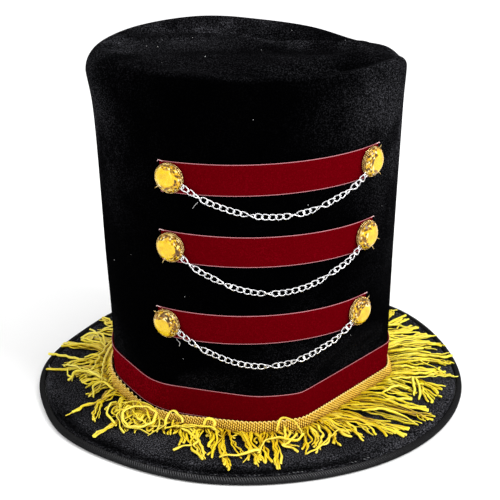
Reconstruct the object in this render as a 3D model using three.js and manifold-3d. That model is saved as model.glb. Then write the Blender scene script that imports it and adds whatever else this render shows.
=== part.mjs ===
// Ringmaster hat: a tall soft top hat in black velvet, resting on its brim.
// Millimetres, +Z up. The origin is on the floor under the middle of the brim, and the
// front of the hat faces -Y. A bearing is an angle in degrees round the hat: 0 at the
// front, 90 at +X and -90 at -X.

import * as THREE from 'three';
import Module from 'manifold-3d';

const wasm = await Module();
wasm.setup();

// ---------------------------------------------------------------- driving dimensions

const GAP = 0.35; // between two pieces that touch on the real hat
const STEP = 6; // degrees between the grid lines round the hat

// Crown: the outside of the wall, at each height.
const WALL_THICKNESS = 3;
const CROWN_FOOT = 0.3;
const PROFILE = [
  { z: 0, radius: 98.0, lean: 0 },
  { z: 20, radius: 99.1, lean: -0.4 },
  { z: 36, radius: 100.3, lean: -0.4 },
  { z: 60, radius: 100.8, lean: -0.2 },
  { z: 102, radius: 102.1, lean: 0.6 },
  { z: 145, radius: 103.3, lean: 0.9 },
  { z: 190, radius: 104.8, lean: 1.2 },
  { z: 212, radius: 105.9, lean: 1.7 },
  { z: 231, radius: 108.0, lean: 2.7 },
];
const LEAN_BEARING = -99; // the crown leans a little this way as it rises

// The front of the crown is a little fuller than its sides.
const SWELL = { height: 2, width: 50, from: 40, to: 140 };

// Flats pressed into the foot of the crown: how far each lies from the axis, and the
// height where it has faded out.
const FLATS = [
  { bearing: 41, distance: 86.5, fadeTop: 78 },
  { bearing: -26, distance: 95.3, fadeTop: 62 },
  { bearing: -68, distance: 96.4, fadeTop: 52 },
];
const FLAT_FADE_FROM = 34;
const FLAT_SOFTNESS = 1.1; // how gently a flat turns into the round wall
const FLAT_REACH = 60; // degrees to either side that a flat can act on
const FLAT_CLEAR = 3; // a faded flat lies this far outside the wall

// Top edge of the crown: the height of its crest and the radius of its roll.
const RIM = [
  { bearing: -165, crest: 248.4, roll: 8 },
  { bearing: -140, crest: 247.4, roll: 10 },
  { bearing: -115, crest: 246.2, roll: 13 },
  { bearing: -80, crest: 246.2, roll: 15 },
  { bearing: -46, crest: 246.2, roll: 13 },
  { bearing: -14, crest: 245.8, roll: 9 },
  { bearing: 12, crest: 245.6, roll: 6 },
  { bearing: 35, crest: 245.4, roll: 5 },
  { bearing: 54, crest: 245.2, roll: 5 },
  { bearing: 70, crest: 241.5, roll: 6 },
  { bearing: 85, crest: 237.6, roll: 7 },
  { bearing: 122, crest: 236.4, roll: 7 },
  { bearing: 145, crest: 241.4, roll: 7 },
  { bearing: 168, crest: 245.0, roll: 7 },
  { bearing: 182, crest: 247.4, roll: 7 },
];

// Soft tip: its level, and the swellings and hollows on it (height below 0 is a hollow).
const TIP_LEVEL = 243.5;
const TIP_BLEND = 15; // width of the slope between the rolled edge and the tip
const TIP_SHAPES = [
  { x: 36, y: -64, length: 44, width: 14, turn: 27, height: -12 }, // behind the lip
  { x: 22, y: 56, length: 52, width: 20, turn: -14, height: -14 }, // behind the ridge
  { x: 34, y: 8, length: 60, width: 13, turn: 6, height: 4 }, // ridge
  { x: 96, y: 18, length: 26, width: 40, turn: 0, height: -3 }, // low right side
  { x: -48, y: -34, length: 42, width: 42, turn: 0, height: 3 }, // puffed front left
];

// The rings of points on each skin of the crown: heights up the wall, angles round the
// rolled edge, and parts of the way over the slope and over the tip.
const OUTER_RINGS = {
  levels: [18, 33, 60, 100, 145, 190, 214],
  angles: [0, 30, 60, 90],
  blends: [0.35, 0.7, 1],
  inwards: [0.3, 0.6, 0.85],
};
const INNER_RINGS = { levels: [33, 60, 145], angles: [0, 90], blends: [0.5, 1], inwards: [0.5] };

// Brim.
const BRIM_THICKNESS = 5;
const BRIM_PADDING = 0.6; // how much the middle of the brim swells
const BRIM_FLAT_TO = 132; // the underside is a true plane as far out as this
const BRIM_OUTLINE = [
  { bearing: -160, radius: 158.5 },
  { bearing: -126, radius: 149 },
  { bearing: -100, radius: 154 },
  { bearing: -78, radius: 155.6 },
  { bearing: -62, radius: 158.8 },
  { bearing: -42, radius: 157.6 },
  { bearing: -20, radius: 159 },
  { bearing: 5, radius: 157.8 },
  { bearing: 32, radius: 158 },
  { bearing: 65, radius: 156 },
  { bearing: 92, radius: 155.2 },
  { bearing: 126, radius: 159.5 },
  { bearing: 165, radius: 158 },
];
const BRIM_LIFT = { bearing: 121, height: 3, width: 20 };
const EDGE_THICKNESS = 5.6; // corded welt along the outline
const EDGE_SIDES = 6;
const EDGE_CORNER = EDGE_THICKNESS / 2 / Math.cos(Math.PI / EDGE_SIDES); // middle to corner

// Velvet ribbons.
const RIBBON_WIDTH = 20;
const RIBBON_THICKNESS = 1.2;
const BAND_BOTTOM = 12.5;
const RIBBON_OVERRUN = 8; // the ribbon runs on past the middle of each stud

// Studs: a faceted stone in a pierced setting. Their ribbon and chain go from the left
// stud to the right one. The chain leaves each stud at an angle below the horizontal.
const ROWS = [
  {
    name: 'top',
    left: { bearing: -36.3, z: 182, chainAngle: 26 },
    right: { bearing: 37, z: 186, chainAngle: 45 },
    chainLow: 159.7,
  },
  {
    name: 'middle',
    left: { bearing: -37, z: 135.5, chainAngle: 34 },
    right: { bearing: 36.3, z: 136.5, chainAngle: 42 },
    chainLow: 107.8,
  },
  {
    name: 'lower',
    left: { bearing: -40.2, z: 80.5, chainAngle: 24 },
    right: { bearing: 35, z: 83, chainAngle: 36 },
    chainLow: 55.5,
  },
];
const STONE = {
  table: 5.3,
  girdle: 8.8,
  back: 7.6,
  backZ: 0.9,
  girdleZ: 2.4,
  girdleHeight: 0.6,
  shoulder: 0.62, // how far up from the girdle to the table the facets meet
  tableZ: 6.3,
};
const SETTING = { sides: 12, foot: 8.3, radius: 9.9, footHeight: 0.9 };
const RIB = { count: 8, width: 1.1, depth: 0.8, rootZ: 0.2, bendZ: 3.3, tip: 6.8, tipZ: 6.6 };
const CHAIN_DIAMETER = 4.2;
const CHAIN_SIDES = 8;
const CHAIN_STEPS = 12;
const CHAIN_CLEARANCE = 0.7; // from a setting to the end of its chain
const CHAIN_STANDS_OUT = { from: 9, to: 3 }; // below the ribbon's lower edge

// Fringe: a woven header round the foot of the crown, with locks lying on the brim.
const HEADER = { foot: 8.4, head: 3.9, thickness: 1.8, footDepth: 2.4, bottom: 5.9, top: 14.2 };
const LOCKS = 46;
const LOCK = {
  stations: [0, 0.45, 1], // from the root to the tip
  rootInset: 1.6, // the root starts this far inside the header's foot
  shuffle: 0.3, // of the spacing between locks
  reach: 42,
  reachSpread: 7,
  sway: 9,
  width: 10,
  tipWidth: 4,
  taper: 1.6, // the lock keeps its width for longer the higher this is
  thickness: 2.2,
  tipThickness: 1.4,
  above: 2.2, // the lock's middle over the brim's upper face
  arch: 2.4,
  archSpread: 1.2,
};

// ---------------------------------------------------------------- helpers

const { clamp, lerp, smoothstep, degToRad, radToDeg } = THREE.MathUtils;

// The point at a bearing, a distance from the axis and a height.
function at(bearing, radius, z) {
  const angle = degToRad(bearing);
  return new THREE.Vector3(radius * Math.sin(angle), -radius * Math.cos(angle), z);
}

// The smaller angle from one bearing to another.
function turnFrom(from, to) {
  return ((((to - from + 180) % 360) + 360) % 360) - 180;
}

// A bell that is 1 in the middle and falls away over the width.
function bell(distance, width) {
  return Math.exp(-((distance / width) ** 2));
}

// A repeatable number between -1 and 1 for a count and a kind of wandering.
function wander(count, kind) {
  const wave = Math.sin(count * 12.9898 + kind * 78.233) * 43758.5453;
  return 2 * (wave - Math.floor(wave)) - 1;
}

// A smooth curve through one column of a table. With a period, the last row joins the
// first.
function curveThrough(rows, key, column, place, period = 0) {
  const count = rows.length;
  const rowAt = (index) => {
    const inside = period > 0 ? (index + count) % count : clamp(index, 0, count - 1);
    const turns = period > 0 ? Math.floor(index / count) : 0;
    return { place: rows[inside][key] + turns * period, value: rows[inside][column] };
  };
  const slope = (a, b) => (b.place > a.place ? (b.value - a.value) / (b.place - a.place) : 0);
  const first = rows[0][key];
  const where = period > 0 ? first + ((place - first + 2 * period) % period) : place;
  const lastSpan = period > 0 ? count - 1 : count - 2;
  let low = 0;
  while (low < lastSpan && where >= rowAt(low + 1).place) low += 1;
  const [before, start, end, after] = [low - 1, low, low + 1, low + 2].map(rowAt);
  const span = end.place - start.place;
  const t = clamp((where - start.place) / span, 0, 1);
  const fromStart = (1 + 2 * t) * start.value + t * span * slope(before, end);
  const fromEnd = (3 - 2 * t) * end.value - (1 - t) * span * slope(start, after);
  return fromStart * (1 - t) ** 2 + fromEnd * t ** 2;
}

// A closed mesh through equal loops of points. The last loop joins the first, or each
// end loop is capped by a fan from its first corner, or domed by one round its middle.
function loft(loops, ends) {
  const around = loops[0].length;
  const points = loops.flat();
  const faces = [];
  const spans = ends === 'joined' ? loops.length : loops.length - 1;
  for (let i = 0; i < spans; i += 1) {
    const here = i * around;
    const next = ((i + 1) % loops.length) * around;
    for (let j = 0; j < around; j += 1) {
      const k = (j + 1) % around;
      faces.push(here + j, next + j, next + k);
      faces.push(here + j, next + k, here + k);
    }
  }
  const last = (loops.length - 1) * around;
  if (ends === 'capped') {
    for (let j = 1; j < around - 1; j += 1) {
      faces.push(0, j, j + 1);
      faces.push(last, last + j + 1, last + j);
    }
  }
  if (ends === 'domed') {
    const firstMiddle = points.push(middleOf(loops[0])) - 1;
    const lastMiddle = points.push(middleOf(loops[loops.length - 1])) - 1;
    for (let j = 0; j < around; j += 1) {
      const k = (j + 1) % around;
      faces.push(firstMiddle, j, k);
      faces.push(lastMiddle, last + k, last + j);
    }
  }
  return outward(points, faces);
}

function middleOf(points) {
  const sum = points.reduce((total, point) => total.add(point), new THREE.Vector3());
  return sum.divideScalar(points.length);
}

// A geometry whose faces point out, whichever way round they were listed.
function outward(points, faces) {
  let volume = 0;
  for (let i = 0; i < faces.length; i += 3) {
    const [a, b, c] = [points[faces[i]], points[faces[i + 1]], points[faces[i + 2]]];
    volume += a.dot(new THREE.Vector3().crossVectors(b, c));
  }
  if (volume < 0) faces.reverse();
  const geometry = new THREE.BufferGeometry().setFromPoints(points);
  geometry.setIndex(faces);
  geometry.computeVertexNormals();
  return geometry;
}

// The bearings of the grid lines all round the hat.
const GRID = Array.from({ length: 360 / STEP }, (unused, index) => index * STEP - 180);

// The ends of a stretch and the grid lines between them.
function gridBetween(from, to) {
  return [from, ...GRID.filter((bearing) => bearing > from + 1 && bearing < to - 1), to];
}

function toSolid(geometry) {
  return new wasm.Manifold(
    new wasm.Mesh({
      numProp: 3,
      vertProperties: new Float32Array(geometry.attributes.position.array),
      triVerts: new Uint32Array(geometry.index.array),
    }),
  );
}

function toGeometry(solid) {
  const { vertProperties, triVerts } = solid.getMesh();
  const geometry = new THREE.BufferGeometry();
  geometry.setAttribute('position', new THREE.BufferAttribute(vertProperties, 3));
  geometry.setIndex(new THREE.BufferAttribute(triVerts, 1));
  geometry.computeVertexNormals();
  return geometry;
}

function material(color, roughness, metalness = 0) {
  return new THREE.MeshStandardMaterial({ color, roughness, metalness });
}

const BLACK_VELVET = material(0x0a0a0c, 0.95);
const EDGE_CORD = material(0x2a2a2d, 0.85);
const RED_VELVET = material(0x6e0410, 0.8);
const GOLD = material(0xc8962c, 0.35, 1);
const AMBER = material(0xf0b400, 0.1);
const SILVER = material(0xd8dade, 0.25, 1);
const YELLOW_FRINGE = material(0xe8b400, 0.7);

const hat = new THREE.Group();

function add(name, geometry, look, parent = hat) {
  const mesh = new THREE.Mesh(geometry, look);
  mesh.name = name;
  parent.add(mesh);
  return mesh;
}

// ---------------------------------------------------------------- crown

// The distance from the axis to the outside of the crown's wall.
function wallRadius(bearing, z) {
  const round = curveThrough(PROFILE, 'z', 'radius', z);
  const lean = curveThrough(PROFILE, 'z', 'lean', z) * Math.cos(degToRad(bearing - LEAN_BEARING));
  const full = SWELL.height * smoothstep(z, SWELL.from, SWELL.to);
  let radius = round + lean + full * bell(turnFrom(0, bearing), SWELL.width);
  for (const flat of FLATS) {
    const off = degToRad(turnFrom(flat.bearing, bearing));
    if (Math.abs(off) > degToRad(FLAT_REACH)) continue;
    const faded = smoothstep(z, FLAT_FADE_FROM, flat.fadeTop);
    const flatRadius = lerp(flat.distance, round + lean + FLAT_CLEAR, faded) / Math.cos(off);
    const both = Math.exp(-radius / FLAT_SOFTNESS) + Math.exp(-flatRadius / FLAT_SOFTNESS);
    radius = -FLAT_SOFTNESS * Math.log(both);
  }
  return radius;
}

// The crest, the roll and the outline of the top edge at a bearing.
function rimAt(bearing) {
  const crest = curveThrough(RIM, 'bearing', 'crest', bearing, 360);
  const roll = curveThrough(RIM, 'bearing', 'roll', bearing, 360);
  return { crest, roll, radius: wallRadius(bearing, crest - roll) };
}

// The height of the tip with its swellings and hollows, away from the edge.
function tipHeight({ x, y }) {
  let height = TIP_LEVEL;
  for (const shape of TIP_SHAPES) {
    const turn = degToRad(shape.turn);
    const along = (x - shape.x) * Math.cos(turn) + (y - shape.y) * Math.sin(turn);
    const across = (y - shape.y) * Math.cos(turn) - (x - shape.x) * Math.sin(turn);
    height += shape.height * bell(along, shape.length) * bell(across, shape.width);
  }
  return height;
}

// A point of the top edge's roll, at an angle from its outermost line, on a skin that
// lies some depth inside the outside.
function rollPoint(bearing, angle, depth) {
  const rim = rimAt(bearing);
  const turn = degToRad(angle);
  const radius = rim.radius - rim.roll + (rim.roll - depth) * Math.cos(turn);
  return at(bearing, radius, rim.crest - rim.roll + (rim.roll - depth) * Math.sin(turn));
}

// A point of the tip: blend is 0 at the roll's inner end and 1 on the open tip, and
// inward then goes from 0 there to 1 on the axis.
function tipPoint(bearing, blend, inward, depth) {
  const rim = rimAt(bearing);
  const radius = (rim.radius - rim.roll - TIP_BLEND * blend) * (1 - inward);
  const point = at(bearing, radius, 0);
  point.z = lerp(rim.crest, tipHeight(point), smoothstep(blend, 0, 1)) - depth;
  return point;
}

// One skin of the crown, from its foot to the middle of its tip.
function crownSkin(depth, { levels, angles, blends, inwards }) {
  const ring = (place) => GRID.map(place);
  return [
    ring((bearing) => at(bearing, wallRadius(bearing, 0) - depth, CROWN_FOOT)),
    ...levels.map((z) => ring((bearing) => at(bearing, wallRadius(bearing, z) - depth, z))),
    ...angles.map((angle) => ring((bearing) => rollPoint(bearing, angle, depth))),
    ...blends.map((blend) => ring((bearing) => tipPoint(bearing, blend, 0, depth))),
    ...inwards.map((inward) => ring((bearing) => tipPoint(bearing, 1, inward, depth))),
  ];
}

const outside = crownSkin(0, OUTER_RINGS);
const inside = crownSkin(WALL_THICKNESS, INNER_RINGS);
add('crown', loft([...inside.reverse(), ...outside], 'domed'), BLACK_VELVET);

// ---------------------------------------------------------------- brim

function brimOutline(bearing) {
  return curveThrough(BRIM_OUTLINE, 'bearing', 'radius', bearing, 360);
}

// How far the brim has lifted off the floor at a point.
function brimLift(bearing, radius) {
  const outwards = smoothstep(radius, BRIM_FLAT_TO, brimOutline(bearing));
  return BRIM_LIFT.height * bell(turnFrom(BRIM_LIFT.bearing, bearing), BRIM_LIFT.width) * outwards;
}

function brimInner(bearing) {
  return wallRadius(bearing, BRIM_THICKNESS) + GAP;
}

function brimOuter(bearing) {
  return brimOutline(bearing) - 2 * EDGE_CORNER - GAP;
}

// The height of the brim's upper face.
function brimTop(bearing, radius) {
  const across = (radius - brimInner(bearing)) / (brimOuter(bearing) - brimInner(bearing));
  const padding = BRIM_PADDING * Math.sin(Math.PI * clamp(across, 0, 1));
  return BRIM_THICKNESS + padding + brimLift(bearing, radius);
}

function brimLoops() {
  const underside = (radiusAt) => (bearing) => {
    const radius = radiusAt(bearing);
    return at(bearing, radius, brimLift(bearing, radius));
  };
  const upper = (radiusAt) => (bearing) => {
    const radius = radiusAt(bearing);
    return at(bearing, radius, brimTop(bearing, radius));
  };
  const middle = () => BRIM_FLAT_TO;
  return [
    GRID.map(underside(brimInner)),
    GRID.map(underside(middle)),
    GRID.map(underside(brimOuter)),
    GRID.map(upper(brimOuter)),
    GRID.map(upper(middle)),
    GRID.map(upper(brimInner)),
  ];
}

// The corded welt round the brim, with a flat side down.
function edgeLoops() {
  return GRID.map((bearing) => {
    const radius = brimOutline(bearing) - EDGE_CORNER;
    const middle = EDGE_THICKNESS / 2 + brimLift(bearing, radius);
    return Array.from({ length: EDGE_SIDES }, (unused, side) => {
      const angle = (side / EDGE_SIDES) * 2 * Math.PI;
      const out = radius + EDGE_CORNER * Math.cos(angle);
      return at(bearing, out, middle + EDGE_CORNER * Math.sin(angle));
    });
  });
}

add('brim', loft(brimLoops(), 'joined'), BLACK_VELVET);
add('brim_edge', loft(edgeLoops(), 'joined'), EDGE_CORD);

// ---------------------------------------------------------------- ribbons

// The section of a ribbon lying on the crown at a bearing.
function ribbonSection(bearing, bottom) {
  const top = bottom + RIBBON_WIDTH;
  const under = (z) => wallRadius(bearing, z) + GAP;
  return [
    at(bearing, under(bottom), bottom),
    at(bearing, under(top), top),
    at(bearing, under(top) + RIBBON_THICKNESS, top),
    at(bearing, under(bottom) + RIBBON_THICKNESS, bottom),
  ];
}

// The middle height of a row's ribbon, which rises a little to the right.
function ribbonMiddle(row, bearing) {
  const along = (bearing - row.left.bearing) / (row.right.bearing - row.left.bearing);
  return lerp(row.left.z, row.right.z, along);
}

const BAND_LOOPS = GRID.map((bearing) => ribbonSection(bearing, BAND_BOTTOM));
add('hat_band', loft(BAND_LOOPS, 'joined'), RED_VELVET);

for (const row of ROWS) {
  const overrun = radToDeg(RIBBON_OVERRUN / wallRadius(0, row.left.z));
  const lines = gridBetween(row.left.bearing - overrun, row.right.bearing + overrun);
  const loops = lines.map((bearing) => {
    return ribbonSection(bearing, ribbonMiddle(row, bearing) - RIBBON_WIDTH / 2);
  });
  add(`ribbon_${row.name}`, loft(loops, 'capped'), RED_VELVET);
}

// ---------------------------------------------------------------- studs

// A ring of points about the local Z axis, turned by a part of a step.
function ring(count, radius, z, turned = 0) {
  return Array.from({ length: count }, (unused, index) => {
    const angle = ((index + turned) / count) * 2 * Math.PI;
    return new THREE.Vector3(radius * Math.cos(angle), radius * Math.sin(angle), z);
  });
}

// A round stone with an eight-sided table, eight stars, eight kites and a girdle with
// sixteen sides.
function stoneGeometry() {
  const slope = (STONE.girdle + STONE.table) / 2;
  const slopeZ = lerp(STONE.girdleZ + STONE.girdleHeight, STONE.tableZ, STONE.shoulder);
  const table = ring(8, STONE.table, STONE.tableZ);
  const shoulder = ring(8, slope, slopeZ, 0.5);
  const girdleTop = ring(16, STONE.girdle, STONE.girdleZ + STONE.girdleHeight);
  const girdleFoot = ring(16, STONE.girdle, STONE.girdleZ);
  const back = ring(16, STONE.back, STONE.backZ);
  const points = [...table, ...shoulder, ...girdleTop, ...girdleFoot, ...back];
  const [T, S, G, F, B] = [0, 8, 16, 32, 48];
  const faces = [];
  for (let i = 0; i < 8; i += 1) {
    const next = (i + 1) % 8;
    const last = (i + 7) % 8;
    const [g, gNext, gLast] = [G + 2 * i, G + 2 * i + 1, G + ((2 * i + 15) % 16)];
    faces.push(T + i, S + i, T + next);
    faces.push(T + i, S + last, g, T + i, g, S + i);
    faces.push(S + i, g, gNext, S + last, gLast, g);
    if (i > 0 && i < 7) faces.push(T, T + i, T + i + 1);
  }
  for (let i = 0; i < 16; i += 1) {
    const next = (i + 1) % 16;
    faces.push(G + i, F + i, F + next, G + i, F + next, G + next);
    faces.push(F + i, B + i, B + next, F + i, B + next, F + next);
    if (i > 0 && i < 15) faces.push(B, B + i + 1, B + i);
  }
  return outward(points, faces);
}

// A rib of the setting: from the foot ring up beside the stone and in over its shoulder.
function ribGeometry(angle) {
  const side = SETTING.radius - RIB.depth / 2;
  const path = [
    { out: side, z: RIB.rootZ, outNormal: 1, zNormal: 0 },
    { out: side, z: RIB.bendZ, outNormal: 0.86, zNormal: 0.5 },
    { out: RIB.tip, z: RIB.tipZ, outNormal: 0.6, zNormal: 0.8 },
  ];
  const axis = new THREE.Vector3(0, 0, 1);
  const loops = path.map((place) => {
    const corner = (across, depth) => {
      const out = place.out + (depth * RIB.depth * place.outNormal) / 2;
      const height = place.z + (depth * RIB.depth * place.zNormal) / 2;
      return new THREE.Vector3(out, (across * RIB.width) / 2, height).applyAxisAngle(axis, angle);
    };
    return [corner(-1, -1), corner(1, -1), corner(1, 1), corner(-1, 1)];
  });
  return loft(loops, 'capped');
}

// The pierced setting: a foot ring and its ribs, with open gaps between them.
function settingGeometry() {
  const { sides, foot, radius, footHeight } = SETTING;
  const footLoops = [
    ring(sides, foot, 0),
    ring(sides, radius, 0),
    ring(sides, radius, footHeight),
    ring(sides, foot, footHeight),
  ];
  let solid = toSolid(loft(footLoops, 'joined'));
  for (let rib = 0; rib < RIB.count; rib += 1) {
    solid = solid.add(toSolid(ribGeometry(((rib + 0.5) / RIB.count) * 2 * Math.PI)));
  }
  return toGeometry(solid);
}

// A group whose origin is the middle of a stud's foot, with its Z axis square to the
// ribbon under it and its Y axis up.
function studGroup({ bearing, z }) {
  const onWall = (turn, rise) => at(bearing + turn, wallRadius(bearing + turn, z + rise), z + rise);
  const span = SETTING.radius;
  const turn = radToDeg(span / wallRadius(bearing, z));
  const across = onWall(turn, 0).sub(onWall(-turn, 0)).normalize();
  const outwards = onWall(0, span).sub(onWall(0, -span)).cross(across).negate().normalize();
  const up = new THREE.Vector3().crossVectors(outwards, across);
  const group = new THREE.Group();
  group.position.copy(onWall(0, 0)).addScaledVector(outwards, GAP + RIBBON_THICKNESS + GAP);
  group.quaternion.setFromRotationMatrix(new THREE.Matrix4().makeBasis(across, up, outwards));
  return group;
}

const STONE_SHAPE = stoneGeometry();
const SETTING_SHAPE = settingGeometry();

for (const row of ROWS) {
  for (const side of ['left', 'right']) {
    const stud = studGroup(row[side]);
    add(`setting_${row.name}_${side}`, SETTING_SHAPE, GOLD, stud);
    add(`stone_${row.name}_${side}`, STONE_SHAPE, AMBER, stud);
    hat.add(stud);
  }
}

// ---------------------------------------------------------------- chains

// Where a row's chain meets a stud: just clear of the setting, down and towards the
// middle of the hat. Inwards is 1 at the left stud and -1 at the right one.
function chainEnd({ bearing, z, chainAngle }, inwards) {
  const distance = SETTING.radius + CHAIN_CLEARANCE;
  const down = degToRad(chainAngle);
  const sideways = radToDeg((distance * Math.cos(down)) / wallRadius(bearing, z));
  return { bearing: bearing + inwards * sideways, z: z - distance * Math.sin(down) };
}

// The middle line of a row's chain: a swag on the front of the crown, which stands out
// over the lower edge of its ribbon.
function chainPath(row) {
  const left = chainEnd(row.left, 1);
  const right = chainEnd(row.right, -1);
  const sag = (left.z + right.z) / 2 - row.chainLow;
  const points = [];
  for (let step = 0; step <= CHAIN_STEPS; step += 1) {
    const along = step / CHAIN_STEPS;
    const bearing = lerp(left.bearing, right.bearing, along);
    const z = lerp(left.z, right.z, along) - sag * (1 - (2 * along - 1) ** 2);
    const ribbonEdge = ribbonMiddle(row, bearing) - RIBBON_WIDTH / 2;
    const { from, to } = CHAIN_STANDS_OUT;
    const overRibbon = smoothstep(z, ribbonEdge - from, ribbonEdge - to);
    const stand = GAP + CHAIN_DIAMETER / 2 + overRibbon * (RIBBON_THICKNESS + GAP);
    points.push(at(bearing, wallRadius(bearing, z) + stand, z));
  }
  return new THREE.CatmullRomCurve3(points);
}

function tubeGeometry(curve, diameter, sides, steps) {
  const section = new THREE.Shape(
    ring(sides, diameter / 2, 0, 0.5).map(({ x, y }) => new THREE.Vector2(x, y)),
  );
  return new THREE.ExtrudeGeometry(section, { steps, extrudePath: curve });
}

for (const row of ROWS) {
  const geometry = tubeGeometry(chainPath(row), CHAIN_DIAMETER, CHAIN_SIDES, CHAIN_STEPS);
  add(`chain_${row.name}`, geometry, SILVER);
}

// ---------------------------------------------------------------- fringe

// The header leans in from the brim to the band.
function headerLoops() {
  const { foot, head, thickness, footDepth, bottom, top } = HEADER;
  return GRID.map((bearing) => {
    const base = wallRadius(bearing, BAND_BOTTOM);
    return [
      at(bearing, base + foot, bottom),
      at(bearing, base + head, top),
      at(bearing, base + head - thickness, top - thickness / 2),
      at(bearing, base + foot - footDepth, bottom),
    ];
  });
}

// One lock: a flat tapering strip that springs from the header, arches a little and
// lies out over the brim. Locks wander in place, length, sway and height.
function lockGeometry(index) {
  const start = ((index + LOCK.shuffle * wander(index, 1)) * 360) / LOCKS - 180;
  const root = wallRadius(start, BAND_BOTTOM) + HEADER.foot - LOCK.rootInset;
  const reach = LOCK.reach + LOCK.reachSpread * wander(index, 2);
  const sway = LOCK.sway * wander(index, 3);
  const arch = LOCK.arch + LOCK.archSpread * wander(index, 4);
  const loops = LOCK.stations.map((along) => {
    const radius = root + reach * along;
    const bearing = start + radToDeg((sway * along ** 2) / radius);
    const height = brimTop(bearing, radius) + LOCK.above + 4 * arch * along * (1 - along);
    const middle = at(bearing, radius, height);
    const across = at(bearing + 90, lerp(LOCK.width, LOCK.tipWidth, along ** LOCK.taper) / 2, 0);
    const up = new THREE.Vector3(0, 0, lerp(LOCK.thickness, LOCK.tipThickness, along) / 2);
    const corner = (side, level) => {
      return middle.clone().addScaledVector(across, side).addScaledVector(up, level);
    };
    return [corner(-1, -1), corner(1, -1), corner(1, 1), corner(-1, 1)];
  });
  return loft(loops, 'capped');
}

function fringeGeometry() {
  let solid = toSolid(loft(headerLoops(), 'joined'));
  for (let index = 0; index < LOCKS; index += 1) {
    solid = solid.add(toSolid(lockGeometry(index)));
  }
  return toGeometry(solid);
}

add('fringe', fringeGeometry(), YELLOW_FRINGE);

export default hat;
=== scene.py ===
"""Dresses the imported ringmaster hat: black velvet, red ribbons, studs, chains, yellow fringe.

Lengths are millimetres until add_piece() turns them into Blender's metres. A bearing is an
angle in degrees round the hat: 0 at the front (-Y), 90 at +X and -90 at -X.
"""

import math

import bpy
import numpy as np
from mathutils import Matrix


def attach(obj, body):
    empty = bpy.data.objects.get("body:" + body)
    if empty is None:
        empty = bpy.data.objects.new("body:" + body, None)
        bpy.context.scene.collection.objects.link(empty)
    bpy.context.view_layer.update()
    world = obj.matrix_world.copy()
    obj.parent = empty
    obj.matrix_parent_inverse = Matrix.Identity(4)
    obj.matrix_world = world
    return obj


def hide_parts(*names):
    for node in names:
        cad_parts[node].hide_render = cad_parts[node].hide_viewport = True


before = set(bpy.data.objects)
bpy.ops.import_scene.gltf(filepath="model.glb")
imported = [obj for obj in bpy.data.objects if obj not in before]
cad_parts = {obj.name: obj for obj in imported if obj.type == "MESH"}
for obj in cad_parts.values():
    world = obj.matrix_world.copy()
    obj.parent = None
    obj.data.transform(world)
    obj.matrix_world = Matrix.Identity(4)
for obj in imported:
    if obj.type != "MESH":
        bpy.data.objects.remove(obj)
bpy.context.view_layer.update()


def table(columns, *rows):
    """Rows of values as dicts, by the names of their columns."""
    return [dict(zip(columns.split(), row)) for row in rows]


# ------------------------------------------------------------------ sizes, as in the frame

MM = 0.001
GAP = 0.35  # between two pieces of the frame that touch on the real hat
ROUND = np.arange(-180, 180, 1.0)  # bearings all round the hat

WALL_THICKNESS = 3.0
CROWN_FOOT = 0.3
PROFILE = table(
    "z radius lean",
    (0, 98.0, 0.0), (20, 99.1, -0.4), (36, 100.3, -0.4),
    (60, 100.8, -0.2), (102, 102.1, 0.6), (145, 103.3, 0.9),
    (190, 104.8, 1.2), (212, 105.9, 1.7), (231, 108.0, 2.7),
)
LEAN_BEARING = -99
SWELL = {"height": 2, "width": 50, "from": 40, "to": 140}

# Flats pressed into the foot of the wall. They fade out above fade_from.
FLATS = table(
    "bearing distance fade_top",
    (41, 86.5, 78), (-26, 95.3, 62), (-68, 96.4, 52),
)
FLAT = {"fade_from": 34, "softness": 1.1, "reach": 60, "clear": 3}

RIM = table(
    "bearing crest roll",
    (-165, 248.4, 8), (-140, 247.4, 10), (-115, 246.2, 13), (-80, 246.2, 15),
    (-46, 246.2, 13), (-14, 245.8, 9), (12, 245.6, 6), (35, 245.4, 5),
    (54, 245.2, 5), (70, 241.5, 6), (85, 237.6, 7), (100, 238.4, 7),
    (122, 236.4, 7), (145, 241.4, 7), (168, 245.0, 7), (182, 247.4, 7),
)
TIP_LEVEL = 243.5
TIP_BLEND = 15
TIP_SHAPES = table(
    "x y length width turn height",
    (36, -64, 44, 14, 27, -12),
    (22, 56, 52, 20, -14, -14),
    (34, 8, 60, 13, 6, 4),
    (96, 18, 26, 40, 0, -3),
    (-48, -34, 42, 42, 0, 3),
)
# Folds of the slack tip: the ends of each crest or trough, its height, how wide its front
# and its back are, how much painted light it has, and how far behind it painted shade lies.
TIP_FOLDS = table(
    "start end height front back lit dark",
    ((10, 14), (64, 3), -6.0, 24, 15, 0, 10),
    ((-4, 18), (72, 4), 3.8, 12, 3.0, 0.36, 96),
    ((-62, 47), (-8, 30), 3.8, 20, 5, 0.22, 56),
    ((-46, 61), (14, 15), 1.6, 9, 6, 0.10, 10),
    ((-22, 56), (26, 84), 1.6, 6, 10, 0.12, 12),
)
BACK_SEAM = {
    "bearing": 180, "radius": 100, "depth": 1.0, "width": 0.55,
    "puff": 0.35, "puff_at": 2.2, "puff_width": 1.2,
}

BRIM_THICKNESS = 5
BRIM_PADDING = 0.6
BRIM_FLAT_TO = 132
BRIM_OUTLINE = table(
    "bearing radius",
    (-160, 158.5), (-126, 149), (-100, 154), (-78, 155.6), (-62, 158.8),
    (-42, 157.6), (-20, 159), (5, 157.8), (32, 158), (65, 156),
    (92, 155.2), (126, 159.5), (165, 158),
)
BRIM_LIFT = {"bearing": 121, "height": 3, "width": 20}
# Round the front, from bold_from to bold_to, the upper sides of the welt's ribs carry a painted grey
# highlight; plain is the tone elsewhere.
WELT = {
    "width": 4.4, "height": 4.8, "ribs": 600, "slant": 4.5, "ribs_at": 64,
    "bold_from": -60, "bold_to": 36, "plain": 0.05,
}
PUCKERS = {"height": 0.2, "from": 138, "to": 150}
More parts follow.
